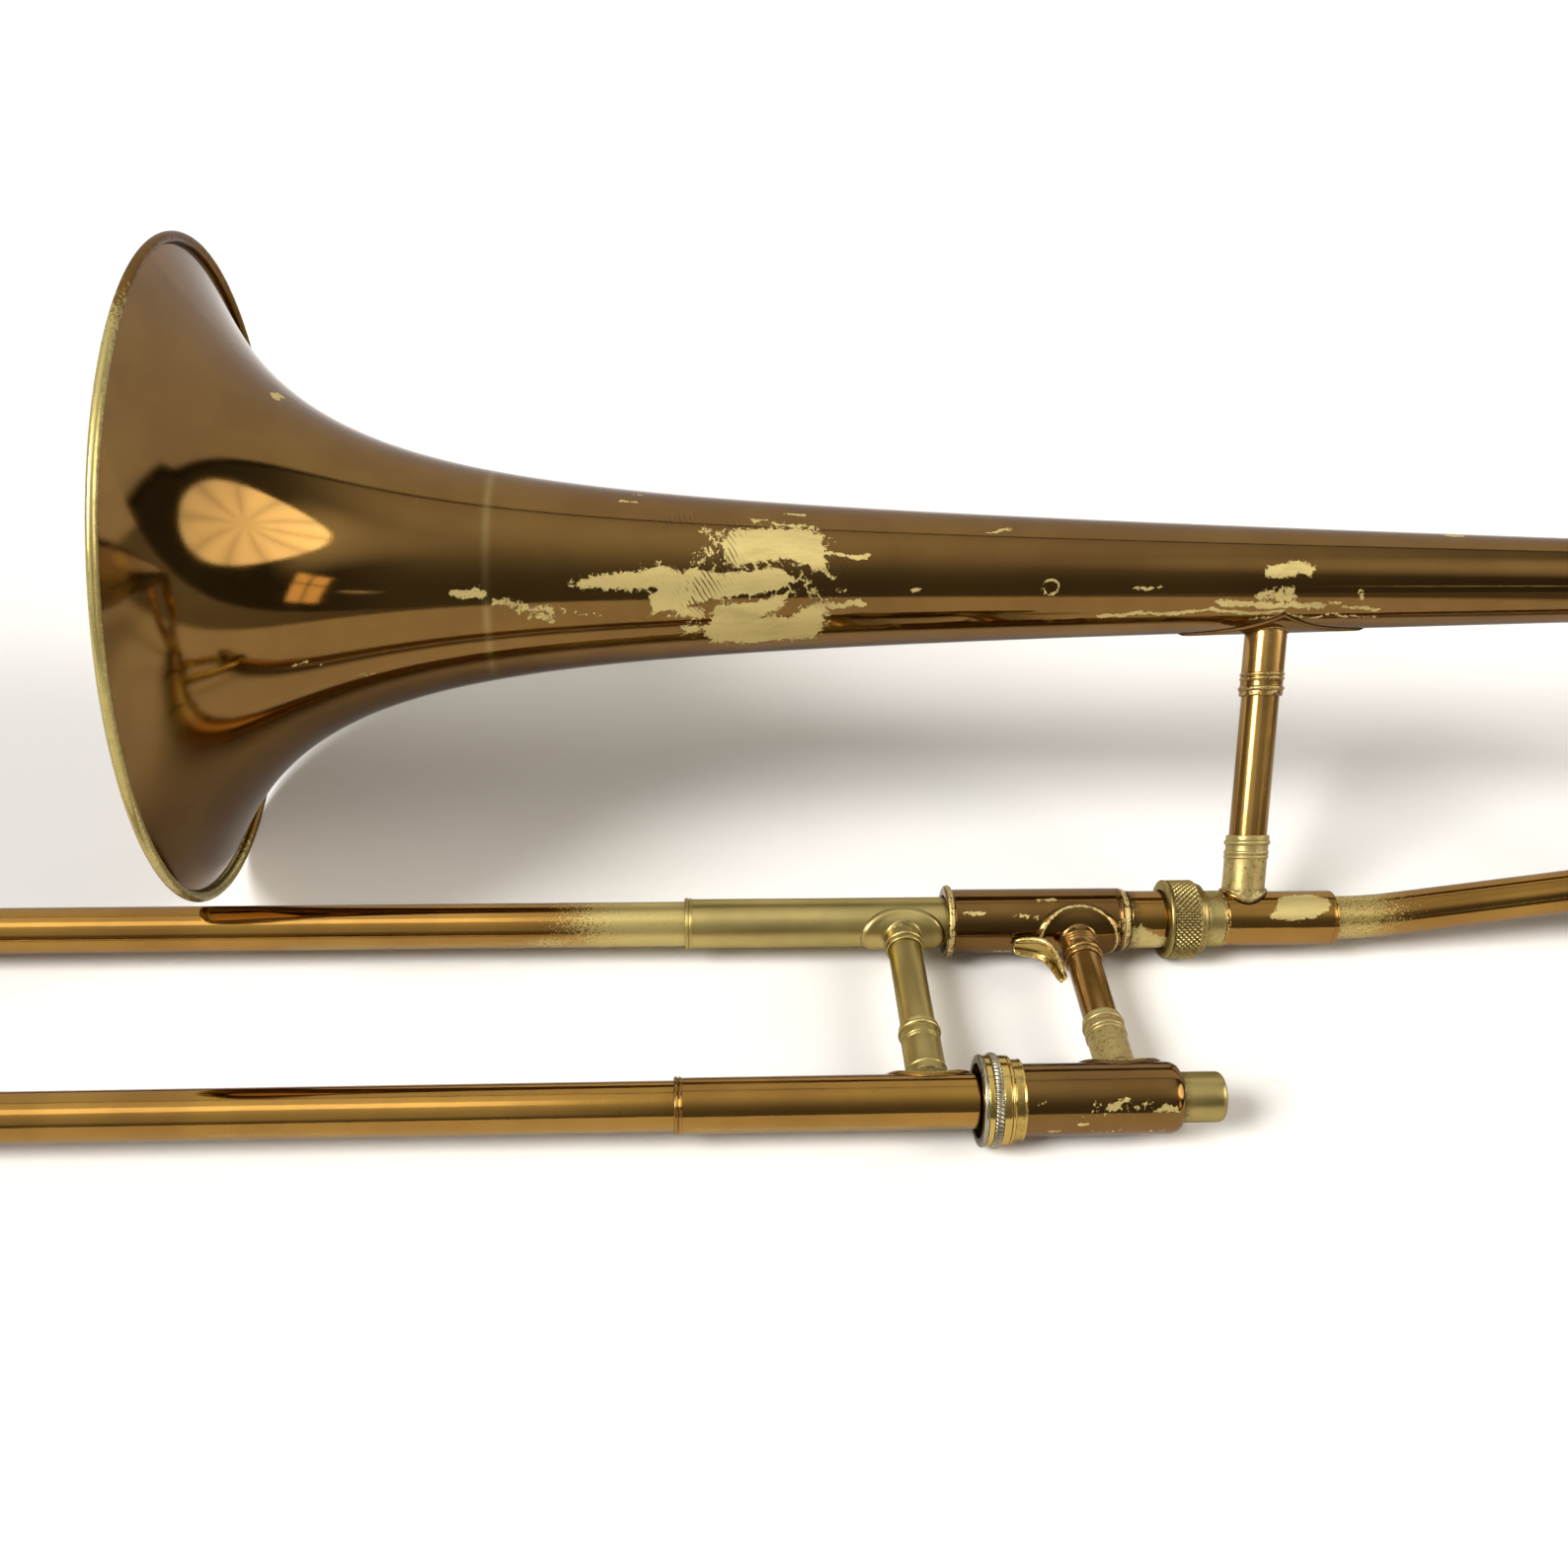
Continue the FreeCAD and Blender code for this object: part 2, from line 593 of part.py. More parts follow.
def make_tuning_legs():
    """Outer legs fixed to the bell and the neckpipe, inner legs that slide in them, and their ferrules."""
    lap = "leg_ferrule_lap"
    legs = (("bell", "bell", "stem_end", "bell_leg_r", bell_radius(f"stem_end - {lap}"), bell_radius("stem_end")),
            ("neck", "tail", "leg_x", "neck_leg_r", "neck_r", "neck_r"))
    for name, axis, start, radius, lap_start, lap_end in legs:
        inner = f"{radius} - leg_wall - leg_fit"
        tube(f"tuning_outer_leg_{name}", axis, start, "leg_end", radius, "leg_wall")
        tube(f"tuning_inner_leg_{name}", axis, f"{start} + 4", "crook_x", inner, "leg_wall")
        skin = f"{lap_start} + leg_ferrule_wall"
        turned(f"tuning_ferrule_{name}", axis, f"{start} - {lap}",
               [("0", lap_start), ("0", skin), (f"2 * {lap}", skin), (f"2 * {lap}", radius), (lap, radius),
                (lap, lap_end)])
        skin = f"{radius} + leg_ferrule_wall"
        tube(f"crook_ferrule_{name}", axis, "leg_end + 0.4", "crook_x", skin, f"{skin} - ({inner})")


def crook_solid(radius_bell, radius_neck):
    """Half a turn of tapering rod round the middle of the crook, in the local XZ plane."""
    reach = value_of(CROOK_SPACING) / 2
    start, end = FreeCAD.Vector(0, 0, reach), FreeCAD.Vector(0, 0, -reach)
    path = Part.Wire([Part.Arc(start, FreeCAD.Vector(reach, 0, 0), end).toShape()])
    shell = Part.BRepOffsetAPI.MakePipeShell(path)
    shell.setFrenetMode(True)
    for centre, radius in ((start, radius_bell), (end, radius_neck)):
        shell.add(Part.Wire([Part.Circle(centre, X_AXIS, radius).toShape()]))
    shell.build()
    shell.makeSolid()
    return shell.shape()


def make_crook():
    """The tuning slide's crook, which widens from the neckpipe side to the bell side."""
    wide, narrow = SIZES["bell_leg_r"], SIZES["neck_leg_r"]
    wall = SIZES["crook_wall"]
    crook = doc.addObject("Part::Feature", "tuning_crook")
    crook.Shape = crook_solid(wide, narrow).cut(crook_solid(wide - wall, narrow - wall))
    place(node(crook, "tuning_crook"), "crook_x", "middle", TOWARDS_BELL)


# --- braces -----------------------------------------------------------------------------------------

def core(name, start_r, end_r, length, at):
    """A rod or cone along X, centred over the local origin at height at."""
    body = turned_body(name, [("0", "0"), ("0", start_r), (length, end_r), (length, "0")])
    return bind(body, Placement__Base__x=f"-({length}) / 2", Placement__Base__z=at)


def saddle(name, start_r, end_r, length, width, at, up):
    """An oval plate bent round a tube that runs along X at height at, on the side of its brace."""
    shell = turned_body(name + "_shell", [("0", start_r), ("0", f"{start_r} + plate"),
                                          (length, f"{end_r} + plate"), (length, end_r)])
    bind(shell, Placement__Base__x=f"-({length}) / 2", Placement__Base__z=at)
    oval = doc.addObject("Part::Ellipse", name + "_oval")
    bind(oval, MajorRadius=f"{length} / 2", MinorRadius=f"{width} / 2", Placement__Base__z=at)
    column = doc.addObject("Part::Extrusion", name + "_column")
    column.Base = oval
    column.DirMode = "Custom"
    column.Dir = Z_AXIS if up else -Z_AXIS
    column.Solid = True
    bind(column, LengthFwd=f"{start_r} + plate + 2")
    plate_shape = doc.addObject("Part::Common", name)
    plate_shape.Base = shell
    plate_shape.Tool = column
    return plate_shape


def standing(name, corners, lean, at, up):
    """A turned piece on the brace's own axis, which leans along X, starting from height at."""
    body = turned_body(name, corners)
    body.Placement = FreeCAD.Placement(FreeCAD.Vector(), FreeCAD.Rotation(Y_AXIS, 45))
    turn = f"{lean} + 270" if up else f"{lean} + 90"
    return bind(body, Placement__Rotation__Angle=turn, Placement__Base__x=f"({at}) * tan({lean})",
                Placement__Base__z=at)


def make_brace(prefix, x, axis, turn, spacing, tube_r, socket_r, ends, lean="0"):
    """Two saddles, two ringed sockets and a tube between two tubes that run along X.

    Each end is (name, radius where its saddle starts, radius where it ends, saddle length,
    saddle width, reach of the socket from that tube's axis).
    """
    sockets = []
    for up, (side, start_r, end_r, length, width, reach) in zip((True, False), ends):
        at = "0" if up else spacing
        ring, shoulder = f"{socket_r} + socket_ring", f"{reach} - socket_lip"
        seat = f"{reach} - socket_grip"
        blank = standing(f"{prefix}_socket_{side}_blank",
                         [("0", "0"), ("0", socket_r), (shoulder, socket_r), (shoulder, ring), (reach, ring),
                          (reach, tube_r), (seat, tube_r), (seat, "0")], lean, at, up)
        grow = f"({start_r} - {end_r}) * 5 / {length}"
        hub = core(f"{prefix}_hub_{side}", f"{start_r} + plate + {grow}", f"{end_r} + plate - {grow}",
                   f"{length} + 10", at)
        bind(hub, Placement__Base__x=f"-({length} + 10) / 2 + ({at}) * tan({lean})")
        sockets.append(cut(f"{prefix}_socket_{side}", blank, hub))
        plate_shape = saddle(f"{prefix}_saddle_{side}", start_r, end_r, length, width, at, up)
        place(node(plate_shape, f"{prefix}_saddle_{side}"), f"{x} + ({at}) * tan({lean})", axis, turn)
    place(node(compound(f"{prefix}_sockets", sockets), f"{prefix}_sockets"), x, axis, turn)
    start, bore = f"{ends[0][5]} - socket_grip", f"{tube_r} - brace_wall"
    end = f"{spacing} / cos({lean}) - {ends[1][5]} + socket_grip"
    body = standing(f"{prefix}_tube_blank", [(start, bore), (start, tube_r), (end, tube_r), (end, bore)],
                    lean, "0", True)
    place(node(compound(f"{prefix}_tube", [body]), f"{prefix}_tube"), x, axis, turn)


def make_braces():
    """Grip braces of the outer and inner slide, the bell brace, and the two at the tuning slide."""
    make_brace("outer_brace", "outer_brace_x", "neck", TOWARDS_MOUTH, "slide_spacing", "slide_brace_r",
               "slide_socket_r",
               (("neck", "sleeve_r", "sleeve_r", "outer_saddle_length", "outer_saddle_width", "outer_reach_neck"),
                ("mouth", "sleeve_r", "sleeve_r", "outer_saddle_length", "outer_saddle_width",
                 "outer_reach_mouth")))
    make_brace("inner_brace", "inner_brace_x", "neck", TOWARDS_MOUTH, "slide_spacing", "slide_brace_r",
               "slide_socket_r",
               (("neck", "barrel_r", "barrel_r", "inner_saddle_length", "inner_saddle_width", "inner_reach_neck"),
                ("mouth", "barrel_r", "barrel_r", "inner_saddle_length", "inner_saddle_width",
                 "inner_reach_mouth")))
    lean = "bell_brace_lean"
    far = "bell_brace_x + bell_spacing * tan(bell_brace_lean)"
    half = "bell_saddle_length / 2"
    make_brace("bell_brace", "bell_brace_x", "neck", TOWARDS_BELL, "bell_spacing", "bell_brace_r", "bell_socket_r",
               (("neck", "ferrule_r", "ferrule_r", "ferrule_saddle", "ferrule_saddle", "bell_reach_neck"),
                ("bell", bell_radius(f"{far} - {half}"), bell_radius(f"{far} + {half}"), "bell_saddle_length",
                 "bell_saddle_width", "bell_reach_bell")), lean)
    make_brace("tail_brace", "tail_brace_x", "tail", TOWARDS_BELL, CROOK_SPACING, "slide_brace_r", "slide_socket_r",
               (("neck", "neck_leg_r", "neck_leg_r", "tail_saddle_length", "tail_saddle_neck", "tail_reach_neck"),
                ("bell", "bell_leg_r", "bell_leg_r", "tail_saddle_length", "tail_saddle_bell", "tail_reach_bell")))


def make_finger_rest():
    """The curved rest for the left hand in the corner between the barrel and the inner brace."""
    inner, outer = "rest_bend", "rest_bend + rest_thick"
    body = doc.addObject("PartDesign::Body", "finger_rest")
    sketch = sketch_on(body, "XY_Plane", "finger_rest_outline")
    centre = FreeCAD.Vector()
    for radius in (inner, outer):
        circle = Part.Circle(centre, Z_AXIS, value_of(radius))
        sketch.addGeometry(Part.ArcOfCircle(circle, 0, math.pi / 2))
    reach, outside = value_of(inner), value_of(outer)
    sketch.addGeometry(Part.LineSegment(FreeCAD.Vector(reach, 0, 0), FreeCAD.Vector(outside, 0, 0)))
    sketch.addGeometry(Part.LineSegment(FreeCAD.Vector(0, reach, 0), FreeCAD.Vector(0, outside, 0)))
    for first, end, second, start in ((0, 1, 2, 1), (1, 1, 2, 2), (0, 2, 3, 1), (1, 2, 3, 2)):
        sketch.addConstraint(Sketcher.Constraint("Coincident", first, end, second, start))
    for arc, radius in enumerate((inner, outer)):
        sketch.addConstraint(Sketcher.Constraint("Coincident", arc, 3, -1, 1))
        number = sketch.addConstraint(Sketcher.Constraint("Radius", arc, value_of(radius)))
        sketch.setExpression(f"Constraints[{number}]", bound(radius))
    sketch.addConstraint(Sketcher.Constraint("PointOnObject", 0, 1, -1))
    sketch.addConstraint(Sketcher.Constraint("PointOnObject", 0, 2, -2))
    pad = body.newObject("PartDesign::Pad", "finger_rest_pad")
    pad.Profile = sketch
    bind(pad, Length="rest_width")
    pad.Midplane = True
    place(node(body, "finger_rest"), "inner_brace_x - slide_socket_r - rest_bend - rest_thick", "neck")
    bind(body, Placement__Base__y="slide_y - barrel_r - rest_bend - rest_thick - 0.1")


# --- water key --------------------------------------------------------------------------------------

def key_plate(name, x, length, thick, width):
    """A flat bar of the water key's lever at the height of its pin, centred across it."""
    box = doc.addObject("Part::Box", name)
    return bind(box, Length=length, Width=thick, Height=width, Placement__Base__x=x,
                Placement__Base__y="key_height", Placement__Base__z=f"-({width}) / 2")


def across_key(name, radius, length):
    """A cylinder on the water key's pin, centred across it."""
    return cylinder(name, radius, length, Z_AXIS, Placement__Base__y="key_height",
                    Placement__Base__z=f"-({length}) / 2")


def make_nipple(x):
    """The drain nipple, seated on the side of the bow's ferrule."""
    foot = "outer_r - 1"
    blank = turned_body("nipple_blank", [(foot, "nipple_bore"), (foot, "nipple_r"), ("nipple_top", "nipple_r"),
                                         ("nipple_top", "nipple_bore")])
    blank.Placement = FreeCAD.Placement(FreeCAD.Vector(), FreeCAD.Rotation(Z_AXIS, 90))
    seat = core("nipple_seat", "bow_ferrule_r", "bow_ferrule_r", "4 * nipple_top", "0")
    place(node(cut("water_key_nipple", blank, seat), "water_key_nipple"), x, "neck")


def make_key_posts():
    """The two posts that stand on the slide, and the pin through them."""
    posts = []
    for number, side in enumerate(("key_post_gap / 2", "-key_post_gap / 2 - key_post")):
        box = doc.addObject("Part::Box", f"key_post_{number}")
        bind(box, Length="2 * key_barrel_r", Width="key_height + key_barrel_r", Height="key_post",
             Placement__Base__x="-key_barrel_r", Placement__Base__z=side)
        posts.append(box)
    tube_core = core("key_saddle_seat", "outer_r", "outer_r", "4 * nipple_top", "0")
    pin = across_key("key_axle", "key_pin_r", "key_post_gap + 2 * key_post")
    bored = cut("key_posts_bored", cut("key_posts_seated", fused("key_posts", posts), tube_core), pin)
    place(node(bored, "water_key_posts"), "key_x", "neck")
    place(node(compound("water_key_pin", [pin]), "water_key_pin"), "key_x", "neck")


def make_water_key():
    """Nipple, posts with their pin, and the sprung lever with its cork pad, on the side of the slide."""
    nipple_x = "bow_x + bow_leg"
    make_nipple(nipple_x)
    make_key_posts()
    pad_x = f"{nipple_x} - key_x"
    barrel = across_key("key_barrel", "key_barrel_r", "key_post_gap - 2 * key_side_play")
    arm = key_plate("key_arm", pad_x, f"key_thumb - ({pad_x})", "key_arm_thick", "key_arm_width")
    thumb = key_plate("key_thumb_plate", "key_thumb + 2 - key_thumb_length", "key_thumb_length",
                      "key_thumb_thick", "key_thumb_width")
    cup = cylinder("key_cup", "key_pad_r + key_cup_wall", "key_cup_depth", Y_AXIS, Placement__Base__x=pad_x,
                   Placement__Base__y="key_height - key_cup_drop")
    hole = across_key("key_hole", "key_pin_r + key_pin_fit", "2 * key_post_gap")
    lever = cut("water_key_lever", fused("key_lever_blank", [barrel, arm, thumb, cup]), hole)
    place(node(lever, "water_key_lever"), "key_x", "neck")
    pad = cylinder("water_key_cork", "key_pad_r", "key_height - key_cup_drop - nipple_top", Y_AXIS)
    place(node(pad, "water_key_cork"), nipple_x, "neck")
    bind(pad, Placement__Base__y="slide_y + nipple_top")


# --- the whole instrument ---------------------------------------------------------------------------

def faults():
    """What is wrong with the document's objects and the sub-parts' shapes."""
    found = [f"{thing.Name}: {thing.State}" for thing in doc.Objects
             if "Invalid" in thing.State or "Error" in thing.State]
    found += [f"{thing.Label}: no valid shape" for thing in nodes
              if thing.Shape.isNull() or not thing.Shape.isValid() or not thing.Shape.Solids]
    return found


make_bell()
make_rim_bead()
make_seam_ring()
make_outer_slide()
make_bumper()
make_inner_slide_tubes()
make_barrels()
make_receiver()
make_lock_ring()
make_slide_joint()
make_neckpipe()
make_tuning_legs()
make_crook()
make_braces()
make_finger_rest()
make_water_key()
doc.recompute()

problems = faults()
if problems:
    raise SystemExit("\n".join(problems))
os.makedirs("parts", exist_ok=True)
for thing in nodes:
    thing.Shape.exportStep(f"parts/{thing.Label}.step")
    box = thing.Shape.BoundBox
    print(f"{thing.Label:26s} {thing.Shape.Volume:10.1f} mm3  x {box.XMin:7.1f} {box.XMax:7.1f}"
          f"  y {box.YMin:7.1f} {box.YMax:7.1f}  z {box.ZMin:6.1f} {box.ZMax:6.1f}")
print(f"{len(nodes)} sub-parts")
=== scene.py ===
"""Looks of a tenor trombone lying on its side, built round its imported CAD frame.

Outlines are in millimetres: distances along X are counted from the plane of the bell's rim, and
angles round a tube are 0 towards the mouthpiece side (-Y) and 90 on top.
"""

import math

import bpy
import numpy as np
from mathutils import Matrix, Vector


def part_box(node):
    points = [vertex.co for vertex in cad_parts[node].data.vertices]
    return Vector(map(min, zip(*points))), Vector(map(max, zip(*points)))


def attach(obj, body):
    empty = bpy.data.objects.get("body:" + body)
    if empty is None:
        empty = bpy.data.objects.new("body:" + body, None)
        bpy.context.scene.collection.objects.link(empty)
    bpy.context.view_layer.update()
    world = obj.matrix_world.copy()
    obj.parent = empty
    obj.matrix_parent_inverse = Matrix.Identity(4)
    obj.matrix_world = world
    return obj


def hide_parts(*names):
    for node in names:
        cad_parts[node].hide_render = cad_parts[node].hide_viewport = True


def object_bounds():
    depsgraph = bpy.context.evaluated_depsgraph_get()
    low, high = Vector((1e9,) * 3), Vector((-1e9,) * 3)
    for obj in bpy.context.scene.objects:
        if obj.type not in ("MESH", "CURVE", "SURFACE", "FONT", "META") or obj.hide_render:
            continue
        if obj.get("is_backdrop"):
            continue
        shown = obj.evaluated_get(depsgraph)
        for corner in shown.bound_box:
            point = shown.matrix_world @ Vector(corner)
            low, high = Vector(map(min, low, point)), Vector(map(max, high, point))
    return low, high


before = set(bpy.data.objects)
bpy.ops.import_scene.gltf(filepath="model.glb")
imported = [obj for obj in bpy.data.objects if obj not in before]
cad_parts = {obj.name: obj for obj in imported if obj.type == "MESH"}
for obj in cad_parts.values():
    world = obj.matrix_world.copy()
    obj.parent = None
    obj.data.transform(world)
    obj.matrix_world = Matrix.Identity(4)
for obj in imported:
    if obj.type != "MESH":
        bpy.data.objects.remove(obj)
CAD_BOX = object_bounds()

MM = 0.001
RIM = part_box("bell_rim_bead")[0].x


# --- where things are -----------------------------------------------------------------------------

def middle(node):
    """Y and Z of the axis that a turned CAD node lies on, in metres."""
    low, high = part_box(node)
    return (low.y + high.y) / 2, (low.z + high.z) / 2


def ends(node):
    """Start and end of a CAD node along X, in mm from the rim."""
    low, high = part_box(node)
    return (low.x - RIM) / MM, (high.x - RIM) / MM


def girth(node):
    """Outer radius of a turned CAD node, in mm."""
    low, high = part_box(node)
    return (high.z - low.z) / 2 / MM


NECK, MOUTH = middle("inner_tube_neck"), middle("inner_tube_mouth")
BELL, TAIL = middle("bell_rim_bead"), middle("tuning_outer_leg_neck")
SLIDE_SPACING = (NECK[0] - MOUTH[0]) / MM
BELL_SPACING = math.dist(NECK, BELL) / MM
TAIL_SPACING = math.dist(TAIL, BELL) / MM
TO_BELL = math.atan2(BELL[0] - NECK[0], BELL[1] - NECK[1])

TUBE, INNER = girth("outer_tube_neck"), 6.45
RIM_R = girth("bell_rim_bead")
FLARE_BASE, FLARE_LENGTH, FLARE_POWER, FLARE_TAPER = 23.68, 62.35, 2.147, 0.0243
BELL_WALL = 0.5
SEAM_START = ends("bell_seam_ring")[0]


def bell_radius(x):
    """Outer radius of the bell, x behind its rim."""
    return (RIM_R - FLARE_BASE) * (1 + x / FLARE_LENGTH) ** -FLARE_POWER + FLARE_BASE - FLARE_TAPER * x


# --- materials ------------------------------------------------------------------------------------

def operator(operation, swapped=False):
    """A method that adds a Math node for the operation; swapped puts the wire last."""
    def method(self, *others):
        return self.tree.math(operation, *((*others, self) if swapped else (self, *others)))
    return method


class Wire:
    """An output socket; arithmetic on it adds Math nodes."""

    def __init__(self, tree, socket):
        self.tree, self.socket = tree, socket

    __add__, __radd__ = operator("ADD"), operator("ADD", True)
    __sub__, __rsub__ = operator("SUBTRACT"), operator("SUBTRACT", True)
    __mul__, __rmul__ = operator("MULTIPLY"), operator("MULTIPLY", True)
    __truediv__, __pow__, __abs__ = operator("DIVIDE"), operator("POWER"), operator("ABSOLUTE")


class Tree:
    """The node tree of a material or world; the methods that add a node return a wire from it."""

    def __init__(self, owner, shader="Principled BSDF"):
        owner.use_nodes = True
        self.tree = owner.node_tree
        self.shader = self.tree.nodes[shader]

    def put(self, socket, value):
        """Links a socket, or sets a plain value."""
        if isinstance(value, Wire):
            self.tree.links.new(value.socket, socket)
        elif hasattr(socket.default_value, "__len__") and not hasattr(value, "__len__"):
            socket.default_value = [value] * len(socket.default_value)
        else:
            socket.default_value = value

    def set(self, **values):
        """Sets or links inputs of the shader."""
        for name, value in values.items():
            self.put(self.shader.inputs[name.replace("_", " ")], value)

    def node(self, kind, *values, output=0, **settings):
        """A new node with its settings and its inputs in order; None leaves an input alone."""
        node = self.tree.nodes.new(kind)
        for name, value in settings.items():
            setattr(node, name, value)
        for socket, value in zip(node.inputs, values):
            if value is not None:
                self.put(socket, value)
        return Wire(self, node.outputs[output])

    def add(self, kind, **inputs):
        """A new node with its inputs by name."""
        node = self.tree.nodes.new(kind)
        for name, value in inputs.items():
            self.put(node.inputs[name.replace("_", " ")], value)
        return Wire(self, node.outputs[0])

    def math(self, operation, *values):
        return self.node("ShaderNodeMath", *values, operation=operation)

    def step(self, value, low, high, out_low=0.0, out_high=1.0):
        """A smooth step from out_low to out_high as value goes from low to high."""
        return self.node("ShaderNodeMapRange", value, low, high, out_low, out_high,
                         interpolation_type="SMOOTHSTEP")

    def mix(self, factor, first, second):
        """A mix of two colours."""
        return self.node("ShaderNodeMix", factor, None, None, None, None, None, first, second, output=2,
                         data_type="RGBA")

    def parts(self, vector):
        """The X, Y and Z of a vector."""
        node = self.tree.nodes.new("ShaderNodeSeparateXYZ")
        self.put(node.inputs[0], vector)
        return [Wire(self, socket) for socket in node.outputs]

    def ray(self, kind):
        """1 for rays of one kind, otherwise 0."""
        return self.node("ShaderNodeLightPath", output=f"Is {kind} Ray")

    def place(self, stretch=(1, 1, 1), turn=(0, 0, 0)):
        """Object coordinates in mm, stretched."""
        coordinates = self.node("ShaderNodeTexCoord", output="Object")
        scale = [part / MM for part in stretch]
        return self.add("ShaderNodeMapping", Vector=coordinates, Scale=scale, Rotation=turn)

    def noise(self, where, size, detail=4.0, roughness=0.55, warp=0.0):
        """Noise whose features are about size mm across."""
        return self.add("ShaderNodeTexNoise", Vector=where, Scale=1 / size, Detail=detail, Roughness=roughness,
                        Distortion=warp)

    def field(self, name):
        """A painted field of the mesh."""
        return self.node("ShaderNodeAttribute", output="Fac", attribute_name=name)


def colour(red, green, blue):
    return (red, green, blue, 1.0)


SLIDE_LACQUER = colour(0.31, 0.165, 0.028)
SLIDE_LACQUER_DEEP = colour(0.25, 0.125, 0.020)
DARK_LACQUER = colour(0.178, 0.092, 0.015)
DARK_LACQUER_DEEP = colour(0.150, 0.074, 0.011)
RAW = colour(0.45, 0.355, 0.128)
RAW_DULL = colour(0.345, 0.27, 0.10)
BARE_PALE = colour(0.57, 0.455, 0.18)
POLISHED = colour(0.54, 0.38, 0.11)
POLISHED_DEEP = colour(0.38, 0.26, 0.07)
NICKEL = colour(0.34, 0.31, 0.22)
NICKEL_DARK = colour(0.19, 0.165, 0.11)
# Dark brown for dirt, pits and scratch lines, and for painted shade in grooves and hollows
GRIME_AND_SHADE = colour(0.045, 0.030, 0.013)
HATCH_SLANT, HATCH_GAP = 0.8, 1.5
EDGE_TINT = colour(0.50, 0.48, 0.50)


def metal(name, fresh, deep, bare, gloss, bare_gloss, coat, marks=1.0, grain=1.3,
          edge_width=0.03, haze=0.0):
    """Metal under an old finish. Fields of the mesh say where it is worn off, faded, dirty or darkened as painted
    shade, or hatched.

    fresh and deep are the finish, bare is the metal under it, gloss and bare_gloss their roughness.
    grain is the size in mm of the bites at the edge of a worn patch, edge_width how gradual it is,
    haze how much of the light a dulled finish scatters.
    """
    material = bpy.data.materials.new(name)
    t = Tree(material)
    here = t.place()
    broad = t.noise(here, 28.0, 3.0)
    ragged = t.noise(here, grain, 8.0, 0.72, 0.5)
    fine = t.noise(here, 0.55, 3.0)
    smears = t.noise(t.place((0.25, 1, 1)), 5.0, 5.0, 0.6)
    hairs = t.noise(t.place((0.05, 1, 1)), 0.35, 2.0)
    cross_hairs = t.noise(t.place((1, 0.12, 0.3), (0.3, 0.2, 0.9)), 0.4, 2.0)
    edge = (ragged - 0.5) * 1.7 + t.field("wear") + (fine - 0.5) * 0.5
    worn = t.step(edge, 0.5 - edge_width, 0.5 + edge_width)
    nearly = t.step(edge, 0.36, 0.47) - worn

    finish = t.mix(t.step(broad, 0.35, 0.68), fresh, deep)
    finish = t.mix(t.step(smears, 0.50, 0.75, 0.0, 0.3 * marks), finish, deep)
    pits = t.step(t.noise(here, 0.9, 2.0, 0.5), 0.72, 0.78, 0.0, 0.6 * marks)
    finish = t.mix(pits, finish, GRIME_AND_SHADE)
    finish = t.mix(t.step(nearly, 0.0, 1.0) * 0.35, finish, deep)
    faded = t.field("faded") * t.step(smears, 0.2, 0.6, 0.65, 1.0)
    finish = t.mix(faded, finish, t.mix(0.45, bare, RAW_DULL))
    metal_colour = t.mix(t.step(smears, 0.42, 0.72, 0.0, 0.55), bare, RAW_DULL)
    metal_colour = t.mix(t.step(fine, 0.60, 0.74, 0.0, 0.30), metal_colour, GRIME_AND_SHADE)
    surface = t.mix(worn, finish, metal_colour)
    # Dirt, and painted shade in grooves and in the low parts of a relief, darken the surface
    grime_and_shade_mask = t.field("grime") * t.step(t.noise(here, 1.4, 6.0, 0.7), 0.36, 0.6)
    surface = t.mix(grime_and_shade_mask, surface, GRIME_AND_SHADE)
    x, _, z = t.parts(here)
    slant = x + z * HATCH_SLANT + broad * 6.0
    lines = t.math("SINE", slant * (2 * math.pi / HATCH_GAP))
    broken = t.step(t.noise(t.place((1, 0.3, 0.3)), 1.6, 4.0), 0.42, 0.52)
    hatched = t.field("hatch") * t.step(lines, 0.45, 0.75) * broken
    surface = t.mix(hatched, surface, GRIME_AND_SHADE)
    t.set(Base_Color=surface)

    rough = (gloss + t.step(smears, 0.4, 0.8, 0.0, 0.06 * marks)
             + t.step(hairs, 0.45, 0.75, 0.0, 0.04 * marks))
    rough_bare = bare_gloss + t.step(smears, 0.35, 0.7, -0.06, 0.08)
    stripped = t.math("MAXIMUM", worn, faded * 0.7)
    t.set(Roughness=rough + stripped * (rough_bare - rough) + grime_and_shade_mask * 0.25)
    dull = t.math("MAXIMUM", grime_and_shade_mask, 0.3) * worn
    t.set(Metallic=1.0 - haze - dull, Specular_Tint=EDGE_TINT)
    if coat:
        t.set(Coat_Weight=(1.0 - worn) * coat, Coat_Roughness=0.05, Coat_IOR=1.5)
    height = hairs * 0.25 + cross_hairs * 0.18 + fine * (0.1 + worn * 0.5) - worn * 0.8 - hatched * 0.6
    t.set(Normal=t.add("ShaderNodeBump", Strength=0.35 * marks, Distance=0.00008, Height=height))
    return material


def soft(name, light, dark, grain_size, roughness, bump_depth):
    """Cork or rubber: a mottled matt surface."""
    material = bpy.data.materials.new(name)
    t = Tree(material)
    grain = t.noise(t.place(), grain_size, 6.0, 0.7)
    t.set(Base_Color=t.mix(t.step(grain, 0.35, 0.65), dark, light))
    t.set(Roughness=t.step(grain, 0.3, 0.7, roughness, roughness + 0.15))
    t.set(Normal=t.add("ShaderNodeBump", Strength=0.5, Distance=bump_depth, Height=grain))
    return material


